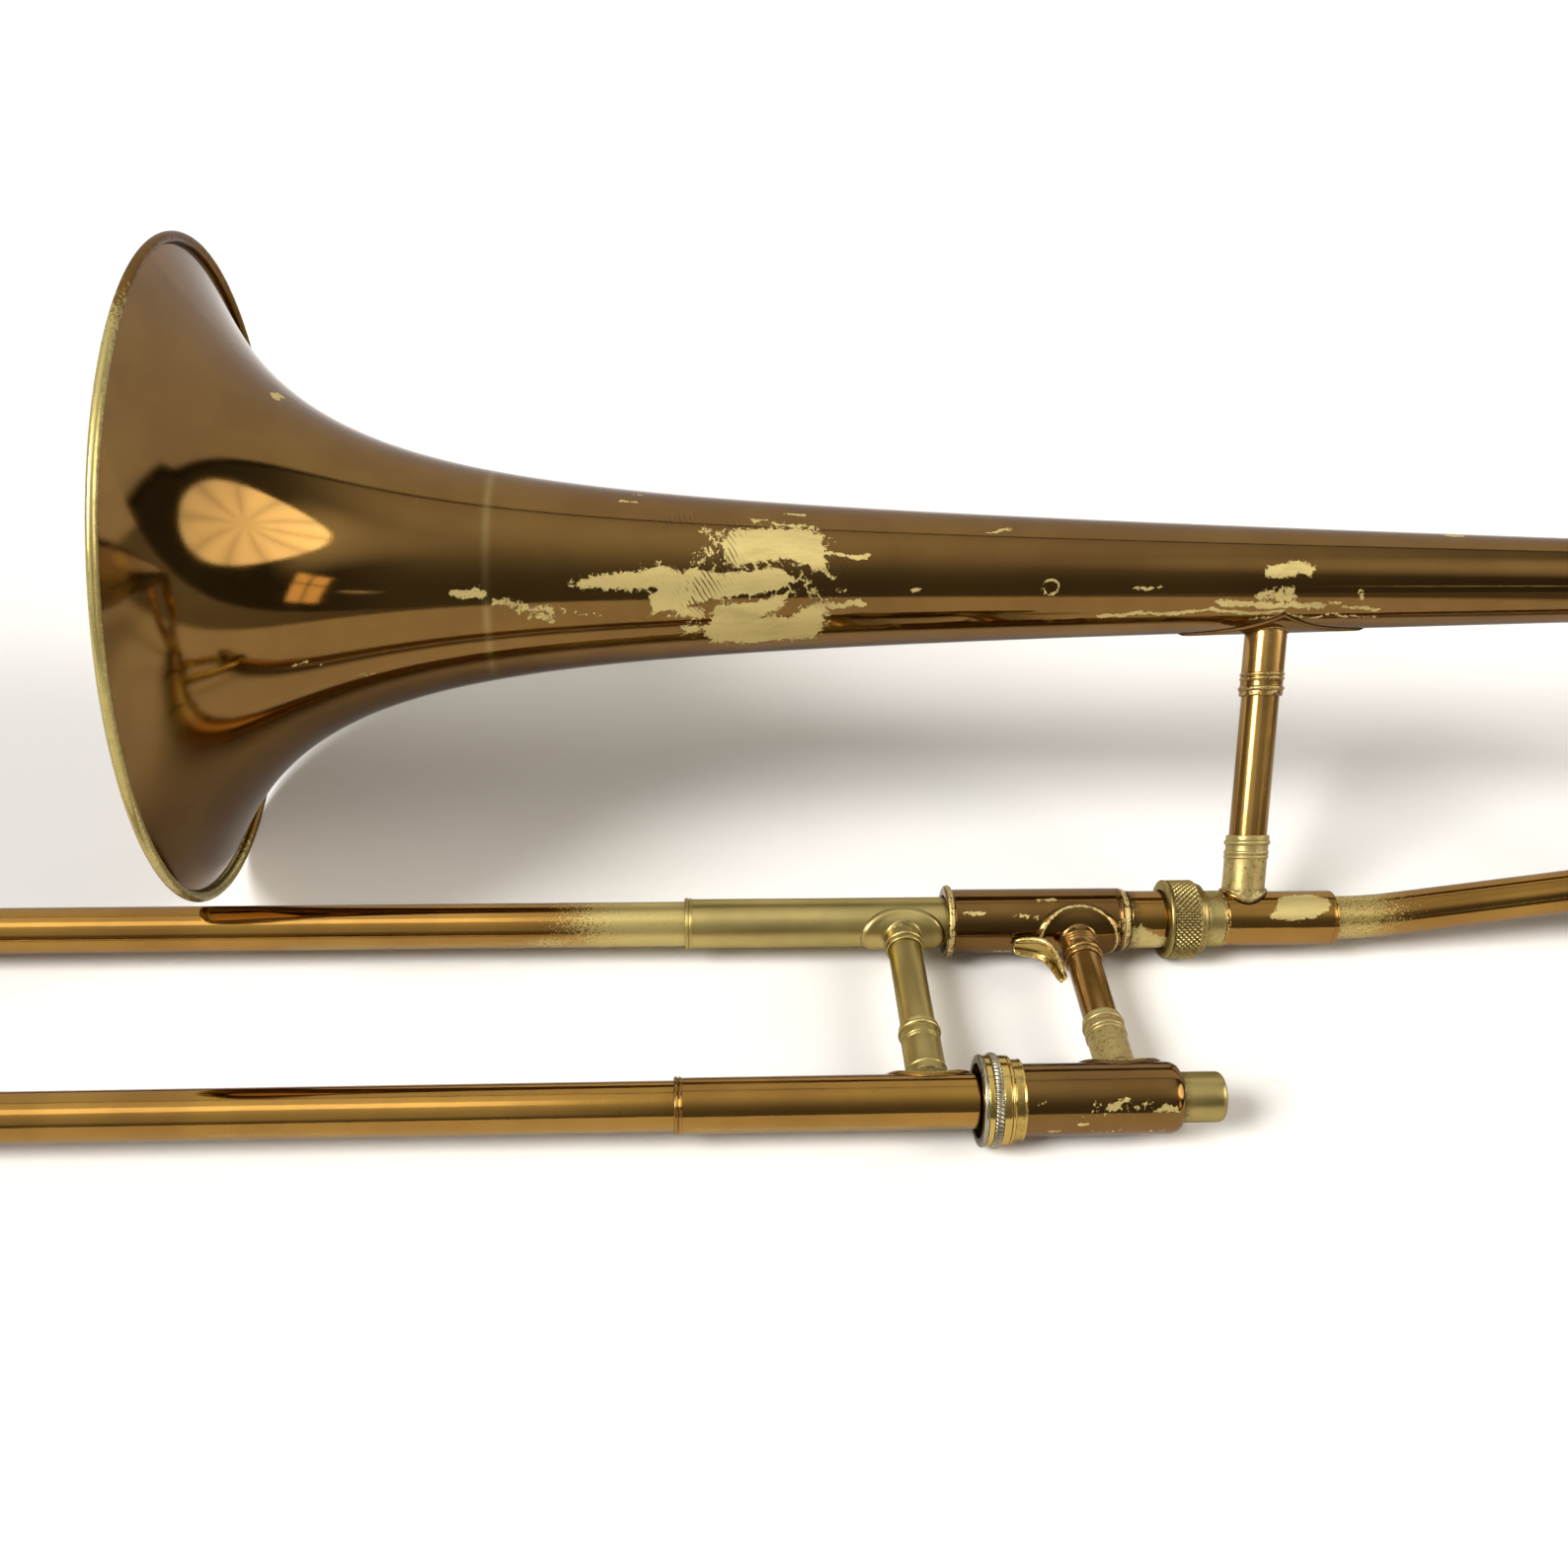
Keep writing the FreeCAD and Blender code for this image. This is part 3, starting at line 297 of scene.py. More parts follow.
LACQUERED = metal("lacquered_brass", SLIDE_LACQUER, SLIDE_LACQUER_DEEP, BARE_PALE, 0.09, 0.40, 0.3)
FADED = metal("faded_lacquer", SLIDE_LACQUER, SLIDE_LACQUER_DEEP, RAW, 0.09, 0.34, 0.3, grain=0.6,
              edge_width=0.16)
DARK = metal("dark_lacquer", DARK_LACQUER, DARK_LACQUER_DEEP, BARE_PALE, 0.09, 0.42, 0.35)
BELL_LACQUER = metal("bell_lacquer", DARK_LACQUER, DARK_LACQUER_DEEP, BARE_PALE, 0.06, 0.50, 0.38, 0.65, 2.0)
RAW_BRASS = metal("raw_brass", RAW, RAW_DULL, BARE_PALE, 0.33, 0.40, 0.0)
NUT_BRASS = metal("nut_brass", colour(0.36, 0.28, 0.10), colour(0.26, 0.195, 0.07), RAW, 0.30, 0.36, 0.0)
BRACE_LACQUER = metal("brace_lacquer", colour(0.31, 0.175, 0.042), colour(0.23, 0.122, 0.027), RAW_DULL, 0.15,
                      0.34, 0.3, grain=1.4, edge_width=0.10, haze=0.15)
RIM_BRASS = metal("rim_brass", DARK_LACQUER, DARK_LACQUER_DEEP, colour(0.44, 0.36, 0.13), 0.14, 0.24, 0.1, 0.7,
                  edge_width=0.10)
BRIGHT_BRASS = metal("bright_brass", POLISHED, POLISHED_DEEP, colour(0.60, 0.47, 0.18), 0.13, 0.26, 0.0, 0.7)
NICKEL_PLATE = metal("nickel", NICKEL, NICKEL_DARK, colour(0.52, 0.47, 0.34), 0.22, 0.30, 0.0, 0.8)
CORK = soft("cork", colour(0.42, 0.25, 0.12), colour(0.16, 0.08, 0.035), 0.8, 0.75, 0.0002)
RUBBER = soft("rubber", colour(0.028, 0.026, 0.024), colour(0.010, 0.010, 0.010), 0.5, 0.6, 0.00005)
SLOTS = {NICKEL_PLATE: "nickel", CORK: "cork", RUBBER: "rubber",
         **dict.fromkeys((LACQUERED, FADED, DARK, BELL_LACQUER, BRACE_LACQUER), "lacquered_brass"),
         **dict.fromkeys((RAW_BRASS, NUT_BRASS, RIM_BRASS, BRIGHT_BRASS), "raw_brass")}


# --- wear: fields painted on the vertices -----------------------------------------------------------

def lattice_noise(x, y, size, seed):
    """Smooth noise from -1 to 1 over a plane, with features about size across."""
    values = np.random.default_rng(seed).uniform(-1, 1, (64, 64))
    u, v = x / size, y / size
    column, row = np.floor(u).astype(int), np.floor(v).astype(int)
    across, up = u - column, v - row
    across, up = across * across * (3 - 2 * across), up * up * (3 - 2 * up)
    corner = [[values[(column + i) % 64, (row + j) % 64] for j in (0, 1)] for i in (0, 1)]
    below = corner[0][0] * (1 - across) + corner[1][0] * across
    above = corner[0][1] * (1 - across) + corner[1][1] * across
    return below * (1 - up) + above * up


def strokes(*lines, warp=0.0):
    """A field of worn strokes; each is (x, angle, x, angle, half width, strength) on a tube.

    warp pushes their edges about, by that many mm.
    """
    def paint(x, angle, radius):
        arc = np.radians(angle) * radius
        if warp:
            shift = [warp * lattice_noise(x, arc, 7.0, seed) + 0.5 * warp * lattice_noise(x, arc, 2.4, seed + 1)
                     for seed in (3, 7)]
            x, arc = x + shift[0], arc + shift[1]
            angle = np.degrees(arc / radius)
        field = np.zeros_like(x)
        for x0, a0, x1, a1, width, strength in lines:
            start = np.array([np.full_like(x, x0), np.radians(a0) * radius])
            reach = np.array([np.full_like(x, x1 - x0), np.radians(a1 - a0) * radius])
            gap = np.array([x, arc]) - start
            length = np.maximum((reach ** 2).sum(0), 1e-9)
            along = np.clip((gap * reach).sum(0) / length, 0, 1)
            distance = np.sqrt(((gap - reach * along) ** 2).sum(0))
            field = np.maximum(field, strength * np.exp(-(distance / width) ** 2))
        return field
    return paint


def patch(corners, halo=4.0, depth=3.0):
    """A field for one bare patch with the given (x, angle) corners, with a speckled halo round it."""
    def paint(x, angle, radius):
        arc = np.radians(angle) * radius
        distance, inside = np.full_like(x, 1e9), np.zeros(len(x), bool)
        for number, (x1, a1) in enumerate(corners):
            x0, a0 = corners[number - 1]
            arc0, arc1 = math.radians(a0) * radius, math.radians(a1) * radius
            across, up = x1 - x0, arc1 - arc0
            along = np.clip(((x - x0) * across + (arc - arc0) * up) / (across ** 2 + up ** 2), 0, 1)
            distance = np.minimum(distance, np.hypot(x - x0 - across * along, arc - arc0 - up * along))
            crosses = (a0 > angle) != (a1 > angle)
            share = (angle - a0) / ((a1 - a0) or 1)
            inside ^= crosses & (x < x0 + share * (x1 - x0))
        return np.where(inside, np.minimum(0.5 + distance / depth, 1.2), 0.5 * np.exp(-distance / halo))
    return paint


def everywhere(level):
    return lambda x, angle, radius: np.full_like(x, level)


def added(*paints):
    return lambda x, angle, radius: sum(paint(x, angle, radius) for paint in paints)


def line_round(x, half_width, strength):
    """A field for a line all round a tube."""
    return strokes((x, -180, x, 180, half_width, strength))


def ramp_along(start, end, low, high):
    """A field that goes from low to high between two places along X."""
    return lambda x, angle, radius: low + (high - low) * np.clip((x - start) / (end - start), 0, 1)


# --- meshes ---------------------------------------------------------------------------------------

def bead(x, radius, height, width, steps=8):
    """Outline points over a bead centred at x; a negative height is a groove."""
    turns = [math.pi * number / steps for number in range(steps + 1)]
    return [(x - width / 2 * math.cos(turn), radius + height * math.sin(turn)) for turn in turns]


def grooves(radius, *xs):
    """Several fine turned grooves in a row."""
    return [point for x in xs for point in bead(x, radius, -0.28, 0.6, 4)]


def ferrule_outline(low, high, skin, first, last, dip):
    """A ferrule with a bead near each end; a bead is (inset, dip under skin, height, width, reach)."""
    return [(low, skin - dip[0]), *bead(low + first[0], skin - first[1], first[2], first[3]),
            (low + first[4], skin - first[1]), (high - last[4], skin - first[1]),
            *bead(high - last[0], skin - last[1], last[2], last[3]), (high, skin - dip[1])]


def softened(outline, fillet, steps=3):
    """The closed outline with its corners rounded."""
    points = [np.array(point, float) for point in outline]
    rounded = []
    for number, corner in enumerate(points):
        before, after = points[number - 1] - corner, points[(number + 1) % len(points)] - corner
        short, long = np.linalg.norm(before), np.linalg.norm(after)
        if short < 1e-6 or long < 1e-6:
            continue
        turn = math.acos(np.clip(-(before @ after) / short / long, -1, 1))
        if turn < 0.7:
            rounded.append(corner)
            continue
        cut = min(fillet, 0.45 * short, 0.45 * long)
        start, end = corner + before / short * cut, corner + after / long * cut
        for step in range(steps + 1):
            share = step / steps
            rounded.append((1 - share) ** 2 * start + 2 * share * (1 - share) * corner + share ** 2 * end)
    return rounded


def divided(points, longest):
    """The closed outline with long edges divided."""
    result = []
    for number, point in enumerate(points):
        after = points[(number + 1) % len(points)]
        parts = max(1, math.ceil(np.linalg.norm(after - point) / longest))
        result += [point + (after - point) * part / parts for part in range(parts)]
    return result


def piece(name, vertices, faces, material, body, replaces=(), fields=None, seat=None):
    """A mesh object from vertices in metres, riding on a CAD body in place of some CAD nodes."""
    mesh = bpy.data.meshes.new(name)
    mesh.from_pydata([tuple(vertex) for vertex in vertices], [], faces)
    mesh.polygons.foreach_set("use_smooth", [True] * len(mesh.polygons))
    for label, values in (fields or {}).items():
        mesh.attributes.new(label, "FLOAT", "POINT").data.foreach_set("value", np.asarray(values, np.float32))
    if seat is not None:
        mesh.transform(seat)
    mesh.update()
    thing = bpy.data.objects.new(name, mesh)
    bpy.context.scene.collection.objects.link(thing)
    thing.data.materials.append(material)
    thing.modifiers.new("normals", "WEIGHTED_NORMAL").keep_sharp = True
    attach(thing, body)
    if replaces:
        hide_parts(*replaces)
    return thing


def grid_faces(rows, columns, wrap_rows):
    """Quads of a grid whose columns close on themselves, and whose rows may."""
    faces = []
    for row in range(rows if wrap_rows else rows - 1):
        first, second = row * columns, (row + 1) % rows * columns
        for column in range(columns):
            beside = (column + 1) % columns
            faces.append((first + column, first + beside, second + beside, second + column))
    return faces


def on_axis(axis):
    """The matrix that puts millimetres from the rim on one of the axes along X."""
    return Matrix.Translation((RIM, axis[0], axis[1])) @ Matrix.Diagonal((MM, MM, MM, 1))


def crests(radii, before, after, height):
    """From -1 in the grooves of a profile to 1 on its edges, judged over seven rows."""
    level = np.convolve(np.concatenate([before, radii, after]), np.ones(7) / 7, "valid")
    return np.clip((radii - level) / height, -1, 1)


def lathe(name, outline, bore, seat, material, body, replaces=(), segments=128, fillet=0.35, longest=3.0,
          wear=None, grime=None, hatch=None, faded=None, edge_wear=0.18, groove_dirt_and_shade=0.45, relief=None):
    """A turned piece about local X.

    outline is the outside as (x, radius) from one end to the other. bore is the inside: one
    radius, or a list like the outline. relief(x, angle) raises the surface, in mm.
    """
    inside = bore if isinstance(bore, list) else [(outline[0][0], bore), (outline[-1][0], bore)]
    closed = divided(softened(list(outline) + inside[::-1], fillet), longest)
    turns = np.arange(segments) * 2 * math.pi / segments
    profile = np.array(closed)
    x = np.repeat(profile[:, 0], segments)
    radius = np.repeat(profile[:, 1], segments)
    turn = np.tile(turns, len(profile))
    angle = (np.degrees(turn) + 180) % 360 - 180
    crest = np.repeat(crests(profile[:, 1], profile[-3:, 1], profile[:3, 1], 0.12), segments)
    raised = np.zeros_like(x)
    if relief:
        raised = relief(x, turn) * (radius > np.max(profile[:, 1]) - 1.2)
        radius = radius + raised
    vertices = np.column_stack([x, -radius * np.cos(turn), radius * np.sin(turn)])
    # Crests of the outline are worn; its grooves and the low parts of a relief are darkened as painted shade,
    # together with any dirt given
    fields = {"wear": np.maximum(crest, 0) * edge_wear,
              "grime": np.maximum(-crest, 0) * groove_dirt_and_shade + np.clip(-raised * 6, 0, 0.8)}
    if wear:
        fields["wear"] = fields["wear"] + wear(x, angle, radius)
    if grime:
        fields["grime"] = np.maximum(fields["grime"], grime(x, angle, radius))
    for label, paint in (("hatch", hatch), ("faded", faded)):
        if paint:
            fields[label] = paint(x, angle, radius)
    faces = grid_faces(len(profile), segments, True)
    return piece(name, vertices, faces, material, body, replaces, fields, seat)


def sweep(name, path, radii, wall, seat, material, body, replaces=(), segments=64, wear=None):
    """A bent tube along a flat path of (point, direction); radii gives the outside at each point."""
    count = len(path)
    sideways = Vector((0, 1, 0)) if abs(path[0][0].y - path[-1][0].y) < 1e-6 else Vector((0, 0, 1))
    rings = []
    for shrink, order in ((0, range(count)), (wall, reversed(range(count)))):
        for number in order:
            point, along = path[number]
            across = along.cross(sideways).normalized()
            for segment in range(segments):
                turn = 2 * math.pi * segment / segments
                offset = sideways * math.cos(turn) + across * math.sin(turn)
                rings.append(point + offset * (radii[number] - shrink))
    fields = {}
    if wear:
        x = np.array([vertex.x for vertex in rings])
        fields["wear"] = wear(x, np.zeros_like(x), np.full_like(x, radii[0]))
    return piece(name, rings, grid_faces(2 * count, segments, True), material, body, replaces, fields, seat)


def oval(turn):
    """A saddle's plain oval outline, for half a length and half a width of 1."""
    return math.cos(turn), math.sin(turn)


def ogee(turn):
    """A saddle's outline with two long points."""
    along = math.cos(turn)
    return along, math.copysign((1 - abs(along)) ** 1.55, math.sin(turn))


def saddle(name, seat, radius, half_length, half_width, material, body, replaces, outline, rim, rim_wear):
    """A plate bent round a tube along local X, on its +Z side; radius(x) is the tube's outside."""
    plate, rings, spokes = 0.8, 18, 120
    heights = []
    for ring in range(1, rings + 1):
        share = ring / rings
        edge = 1 - share
        height = plate * min(1, math.sqrt(max(0, 1 - (1 - min(1, edge / 0.10)) ** 2)) if edge < 0.10 else 1)
        height += rim * math.exp(-((share - 0.86) / 0.05) ** 2)
        heights.append((share, height))
    rows = heights + [(share, -0.2) for share, _ in reversed(heights)]
    vertices, wear, grime = [], [], []
    for share, height in rows:
        for spoke in range(spokes):
            along, across = outline(2 * math.pi * spoke / spokes)
            x = along * half_length * share
            base = radius(x)
            turn = across * half_width * share / base
            reach = base + height
            vertices.append((x, -reach * math.sin(turn), reach * math.cos(turn)))
            wear.append(rim_wear * math.exp(-((share - 0.89) / 0.045) ** 2))
            grime.append(0.75 if share > 0.97 else 0.0)
    centre = len(vertices)
    for height in (heights[0][1], -0.2):
        vertices.append((0, 0, radius(0) + height))
        wear.append(0)
        grime.append(0)
    faces = grid_faces(len(rows), spokes, False)
    last = (len(rows) - 1) * spokes
    for spoke in range(spokes):
        beside = (spoke + 1) % spokes
        faces.append((beside, spoke, centre))
        faces.append((last + spoke, last + beside, centre + 1))
    return piece(name, vertices, faces, material, body, replaces, {"wear": wear, "grime": grime}, seat)


def stood_on(radius, outline, bore, seat, name, material, body, lean, wear, replaces):
    """A socket standing on a tube along local X, out along +Z; the outline is (distance, radius)."""
    segments, weld = 96, 0.9
    foot = outline[0][1]
    closed = divided(softened(list(outline) + [(outline[-1][0], bore), (outline[0][0], bore)], 0.2), 1.5)
    closed = [point for point in closed if not (point[0] <= outline[0][0] + 1e-6)]
    rows = [(None, foot + weld), (None, foot + weld * 0.35), *[(point[0], point[1]) for point in closed],
            (None, bore)]
    widths = np.array([row[1] for row in rows])
    crest = crests(widths, widths[:3], widths[-3:], 0.10)
    vertices, wears, grime_and_shade_levels = [], [], []
    for number, (reach, width) in enumerate(rows):
        for segment in range(segments):
            turn = 2 * math.pi * segment / segments
            x, y = width * math.cos(turn), width * math.sin(turn)
            bend = math.sqrt(max((radius - 0.1) ** 2 - y * y, 1.0))
            z = bend + (0 if number != 1 else weld * 0.55) if reach is None else reach
            z = max(z, bend) if reach is not None else z
            vertices.append((x + z * math.tan(lean), y, z))
            wears.append(0.12 if reach is None else 0.3 * max(crest[number], 0))
            # A dark line at the weld of the foot; the socket's grooves are darkened as painted shade
            grime_and_shade_levels.append(0.8 if number == 0 else 0.35 if number == 1 else 0.9 * max(-crest[number], 0))
    vertices = np.array(vertices)
    fields = {"wear": np.array(wears), "grime": np.array(grime_and_shade_levels)}
    angle = np.degrees(np.arctan2(vertices[:, 0], vertices[:, 1]))
    fields["wear"] = fields["wear"] + wear(vertices[:, 2], angle, np.full(len(vertices), foot))
    return piece(name, vertices, grid_faces(len(rows), segments, True), material, body, replaces, fields, seat)


# --- bell -----------------------------------------------------------------------------------------

def bell_outline():
    """Outside of the bell from under its rim bead to the end of its stem."""
    start, end = ends("bell_flare")[0], ends("bell_stem")[1]
    stations = np.linspace(0, 1, 260) ** 1.35
    return [(x, bell_radius(x)) for x in start + (end - start) * stations]


BARE_TOP = patch(((162, 51), (164, 63), (172, 66), (181, 68), (190, 66), (193, 60), (193, 49), (194, 36), (190, 35),
                  (187, 41), (180, 43), (172, 39), (166, 38), (163, 42)))
BARE_MIDDLE = patch(((117, 25), (123, 29), (132, 31), (140, 34), (143, 37), (149, 31), (153, 35), (160, 32),
                     (167, 33), (177, 36), (182, 33), (184, 26), (180, 21), (173, 18), (164, 15), (158, 13),
                     (151, 9), (156, 6), (156, -1), (151, 1), (148, 6), (141, 5), (140, 17), (143, 22),
                     (135, 21), (127, 22), (119, 23)), halo=2.5)
BARE_LOW = patch(((149, -7), (158, -7), (160, 8), (170, 10), (180, 16), (183, 20), (180, 7), (174, -2), (184, -2),
                  (188, 6), (194, 11), (193, -13), (191, -25), (181, -26), (171, -28), (159, -22), (157, -11),
                  (151, -12)))
STREAKS = strokes(
    (192, 49, 207, 47, 1.1, 0.72), (195, 8, 207, 7, 1.0, 0.70), (156, 64, 162, 58, 2.6, 0.52),
    (154, 42, 162, 52, 4.0, 0.47), (194, 34, 199, 18, 2.6, 0.50), (160, 38, 186, 38, 3.0, 0.40),
    (186, 30, 190, 14, 3.4, 0.42), (152, 0, 160, 2, 2.0, 0.44), (146, 0, 152, -6, 2.6, 0.44),
    (172, 74, 190, 73, 1.0, 0.60),
    (84, 22, 91, 19, 2.0, 0.78), (95, 16, 112, 8, 1.8, 0.60), (98, 12, 110, 4, 2.2, 0.52),
    (112, 9, 124, 4, 1.6, 0.42), (222, 17, 224, 17, 1.0, 0.80), (30, 96, 31, 102, 0.8, 0.85),
    (398, 100, 402, 100, 1.6, 0.85), (280, -9, 340, -6, 1.0, 0.74), (318, 4, 352, 2, 1.7, 0.72),
    (335, 37, 347, 38, 2.8, 0.95), (331, 14, 342, 10, 2.6, 0.66), (364, 15, 366, 9, 1.0, 0.62),
    (350, 1, 372, -4, 1.2, 0.60), (290, 20, 300, 20, 0.9, 0.62),
    (330, -14, 372, -16, 1.0, 0.60), (182, 84, 187, 85, 0.9, 0.70), (131, 86, 136, 86, 0.9, 0.66),
    (133, 98, 138, 99, 0.9, 0.62), (246, 75, 252, 76, 0.9, 0.60), (52, -14, 60, -16, 0.6, 0.56),
    (36, 0, 46, -4, 0.5, 0.56), warp=1.2)


def bell_wear(x, angle, radius):
    """Bare patches and streaks along the bell."""
    bare = np.full_like(x, 0.02)
    near = (x > 105) & (x < 210)
    for paint in (BARE_TOP, BARE_MIDDLE, BARE_LOW):
        bare[near] = np.maximum(bare[near], paint(x[near], angle[near], radius[near]))
    bare = np.maximum(bare, STREAKS(x, angle, radius))
    spot = np.hypot(x - 264, np.radians(angle - 21) * radius)
    return np.maximum(bare, 0.60 * np.exp(-((spot - 2.4) / 0.7) ** 2))


bell_hatch = strokes((153, 14, 163, 44, 4.5, 1.0), (158, 46, 166, 66, 3.0, 0.8), (146, 66, 152, 76, 2.5, 0.7),
                     (192, 14, 198, 40, 2.4, 0.8))
seam_band = line_round(SEAM_START + 0.9, 1.1, 0.26)

lathe("bell", bell_outline(), [(x, r - BELL_WALL) for x, r in bell_outline()], on_axis(BELL), BELL_LACQUER,
      "bell_section", ("bell_flare", "bell_stem", "bell_seam_ring"), segments=256, fillet=0.1, longest=1.6,
      wear=bell_wear, hatch=bell_hatch, faded=seam_band, edge_wear=0.0, groove_dirt_and_shade=0.0)

BEAD_R = 1.6


def rim_arc(first, last, count):
    """Part of the way round the wire bead of the rim."""
    return [(BEAD_R - BEAD_R * math.cos(turn), RIM_R - BEAD_R + BEAD_R * math.sin(turn))
            for turn in np.linspace(first, last, count)]


def rim_wear(x, angle, radius):
    """The rim is bare on its near side, from which the slide is on top round to under the mouthpiece side."""
    return np.clip((95 - np.abs(angle + 5)) / 36, 0, 1)


lathe("bell_rim", rim_arc(0.12, math.pi + 0.5, 22), rim_arc(-0.12, -math.pi + 0.9, 12), on_axis(BELL),
      RIM_BRASS, "bell_section", ("bell_rim_bead",), segments=288, fillet=0.05, wear=rim_wear,
      grime=line_round(3.2, 0.5, 0.6), edge_wear=0.0, groove_dirt_and_shade=0.0)


# --- hand slide -----------------------------------------------------------------------------------

STOCKING_LENGTH = 115
for side, axis in (("neck", NECK), ("mouth", MOUTH)):
    start, end = ends(f"outer_tube_{side}")
    sleeve, sleeve_end = ends(f"sleeve_{side}")
    if side == "neck":
        tube_wear = added(ramp_along(96, 134, 0.05, 0.80), strokes((40, -30, 110, -12, 2.5, 0.30)))
        tube_faded = added(ramp_along(120, 134, 0.0, 0.6), strokes((30, -52, 160, -52, 4.0, 0.75)))
    else:
        tube_wear = added(strokes((20, -8, 60, -10, 1.6, 0.36), (60, -20, 150, -22, 2.0, 0.34)),
                          everywhere(0.03))
        tube_faded = strokes((-60, -48, 150, -48, 3.4, 0.75))
    lathe(f"slide_tube_{side}", [(start, TUBE), (end, TUBE)], TUBE - 0.3, on_axis(axis), FADED, "outer_slide",
          (f"outer_tube_{side}",), wear=tube_wear, faded=tube_faded, segments=96, fillet=0.1)
    sleeve_r = girth(f"sleeve_{side}") - 0.45
    outline = [(sleeve, sleeve_r + 0.1), *bead(sleeve + 0.55, sleeve_r + 0.05, 0.4, 1.1, 6),
               *bead(sleeve + 1.75, sleeve_r, 0.35, 0.9, 6), (sleeve + 2.4, sleeve_r), (sleeve_end, sleeve_r)]
    if side == "neck":
        material, sleeve_wear, sleeve_faded = RAW_BRASS, everywhere(0.12), everywhere(0.0)
    else:
        material = FADED
        sleeve_wear = strokes((150, -30, 250, -30, 2.5, 0.34), (150, -12, 215, -14, 1.5, 0.42))
        sleeve_faded = strokes((140, -50, 250, -50, 4.0, 0.85))
    lathe(f"slide_sleeve_{side}", outline, TUBE + 0.02, on_axis(axis), material, "outer_slide",
          (f"sleeve_{side}",), wear=sleeve_wear, faded=sleeve_faded, grime=line_round(sleeve - 0.1, 0.5, 0.8),
          fillet=0.15)
    low, high = ends(f"bow_ferrule_{side}")
    radius = girth(f"bow_ferrule_{side}")
    ring = (1.2, 0.45, 0.45, 1.6, 2.4)
    lathe(f"slide_bow_ferrule_{side}", ferrule_outline(low, high, radius, ring, ring, (0.4, 0.4)), TUBE + 0.02,
          on_axis(axis), LACQUERED, "outer_slide", (f"bow_ferrule_{side}",), wear=everywhere(0.06))
    start, end = ends(f"inner_tube_{side}")
    stocking = girth(f"inner_tube_{side}")
    outline = [(start, stocking), (start + STOCKING_LENGTH, stocking), (start + STOCKING_LENGTH + 2, INNER),
               (end, INNER)]
    lathe(f"slide_inner_tube_{side}", outline, INNER - 0.3, on_axis(axis), NICKEL_PLATE, "inner_slide",
          (f"inner_tube_{side}",), segments=96, fillet=0.1)

bow_high = ends("slide_bow")[1]
bow_centre = ends("bow_ferrule_neck")[0]
reach = SLIDE_SPACING / 2
bow_path = [(Vector((bow_high, 0, 0)), Vector((-1, 0, 0)))]
for turn in np.linspace(0, math.pi, 65):
    bow_path.append((Vector((bow_centre - reach * math.sin(turn), -reach + reach * math.cos(turn), 0)),
                     Vector((-math.cos(turn), -math.sin(turn), 0))))
bow_path.append((Vector((bow_high, -2 * reach, 0)), Vector((1, 0, 0))))
sweep("slide_bow_tube", bow_path, [TUBE] * len(bow_path), 0.6, on_axis(NECK), LACQUERED, "outer_slide",
      ("slide_bow",), wear=everywhere(0.04))

for node, material in (("slide_cork_neck", CORK), ("slide_cork_mouth", CORK), ("leadpipe", RAW_BRASS),
                       ("bow_bumper", RUBBER), ("water_key_cork", CORK), ("water_key_nipple", BRIGHT_BRASS),
                       ("water_key_posts", LACQUERED), ("water_key_pin", NICKEL_PLATE),
                       ("water_key_lever", LACQUERED)):
    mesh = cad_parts[node].data
    mesh.materials.clear()
    mesh.materials.append(material)

# barrels
start, end = ends("barrel_neck")
lip, barrel = girth("barrel_neck"), girth("barrel_mouth")
BARREL_BORE, BORE_END, RECEIVER_SEAT = 8.4, 264.0, 278
outline = [(start, lip - 1.0), *bead(start + 1.2, lip - 0.9, 0.9, 2.2), (start + 2.6, barrel),
           (end - 4.6, barrel), *bead(end - 4.0, barrel, -0.35, 0.8, 6),
           *bead(end - 3.0, barrel - 0.15, 0.15, 1.1, 6),
           (end - 2.0, barrel - 0.15), (end - 1.0, barrel - 0.5), (end - 0.3, barrel - 1.3), (end, barrel - 2.2)]
inside = [(start, BARREL_BORE), (BORE_END, BARREL_BORE), (BORE_END, INNER), (end, INNER)]
lathe("neck_barrel", outline, inside, on_axis(NECK), DARK, "inner_slide", ("barrel_neck",), edge_wear=0.55,
      wear=strokes((237, 56, 245, 54, 0.9, 0.62), (262, 80, 268, 80, 1.2, 0.58), (254, 50, 262, 46, 1.2, 0.52),
                   (248, -30, 258, -34, 1.2, 0.55), (276, 62, 288, 30, 2.4, 0.46), (284, 10, 287, -10, 1.2, 0.55)),
      grime=strokes((246, 22, 262, 14, 1.2, 0.5)))
start, end = ends("barrel_mouth")
receiver = girth("mouthpiece_receiver")
outline = [(start, barrel), (end - 3.4, barrel), (end - 2.0, barrel - 0.25), (end - 0.8, barrel - 0.9),
           (end - 0.2, barrel - 1.8), (end, barrel - 2.6)]
inside = [(start, BARREL_BORE), (BORE_END, BARREL_BORE), (BORE_END, INNER), (RECEIVER_SEAT, INNER),
          (RECEIVER_SEAT, receiver + 0.02), (end, receiver + 0.02)]
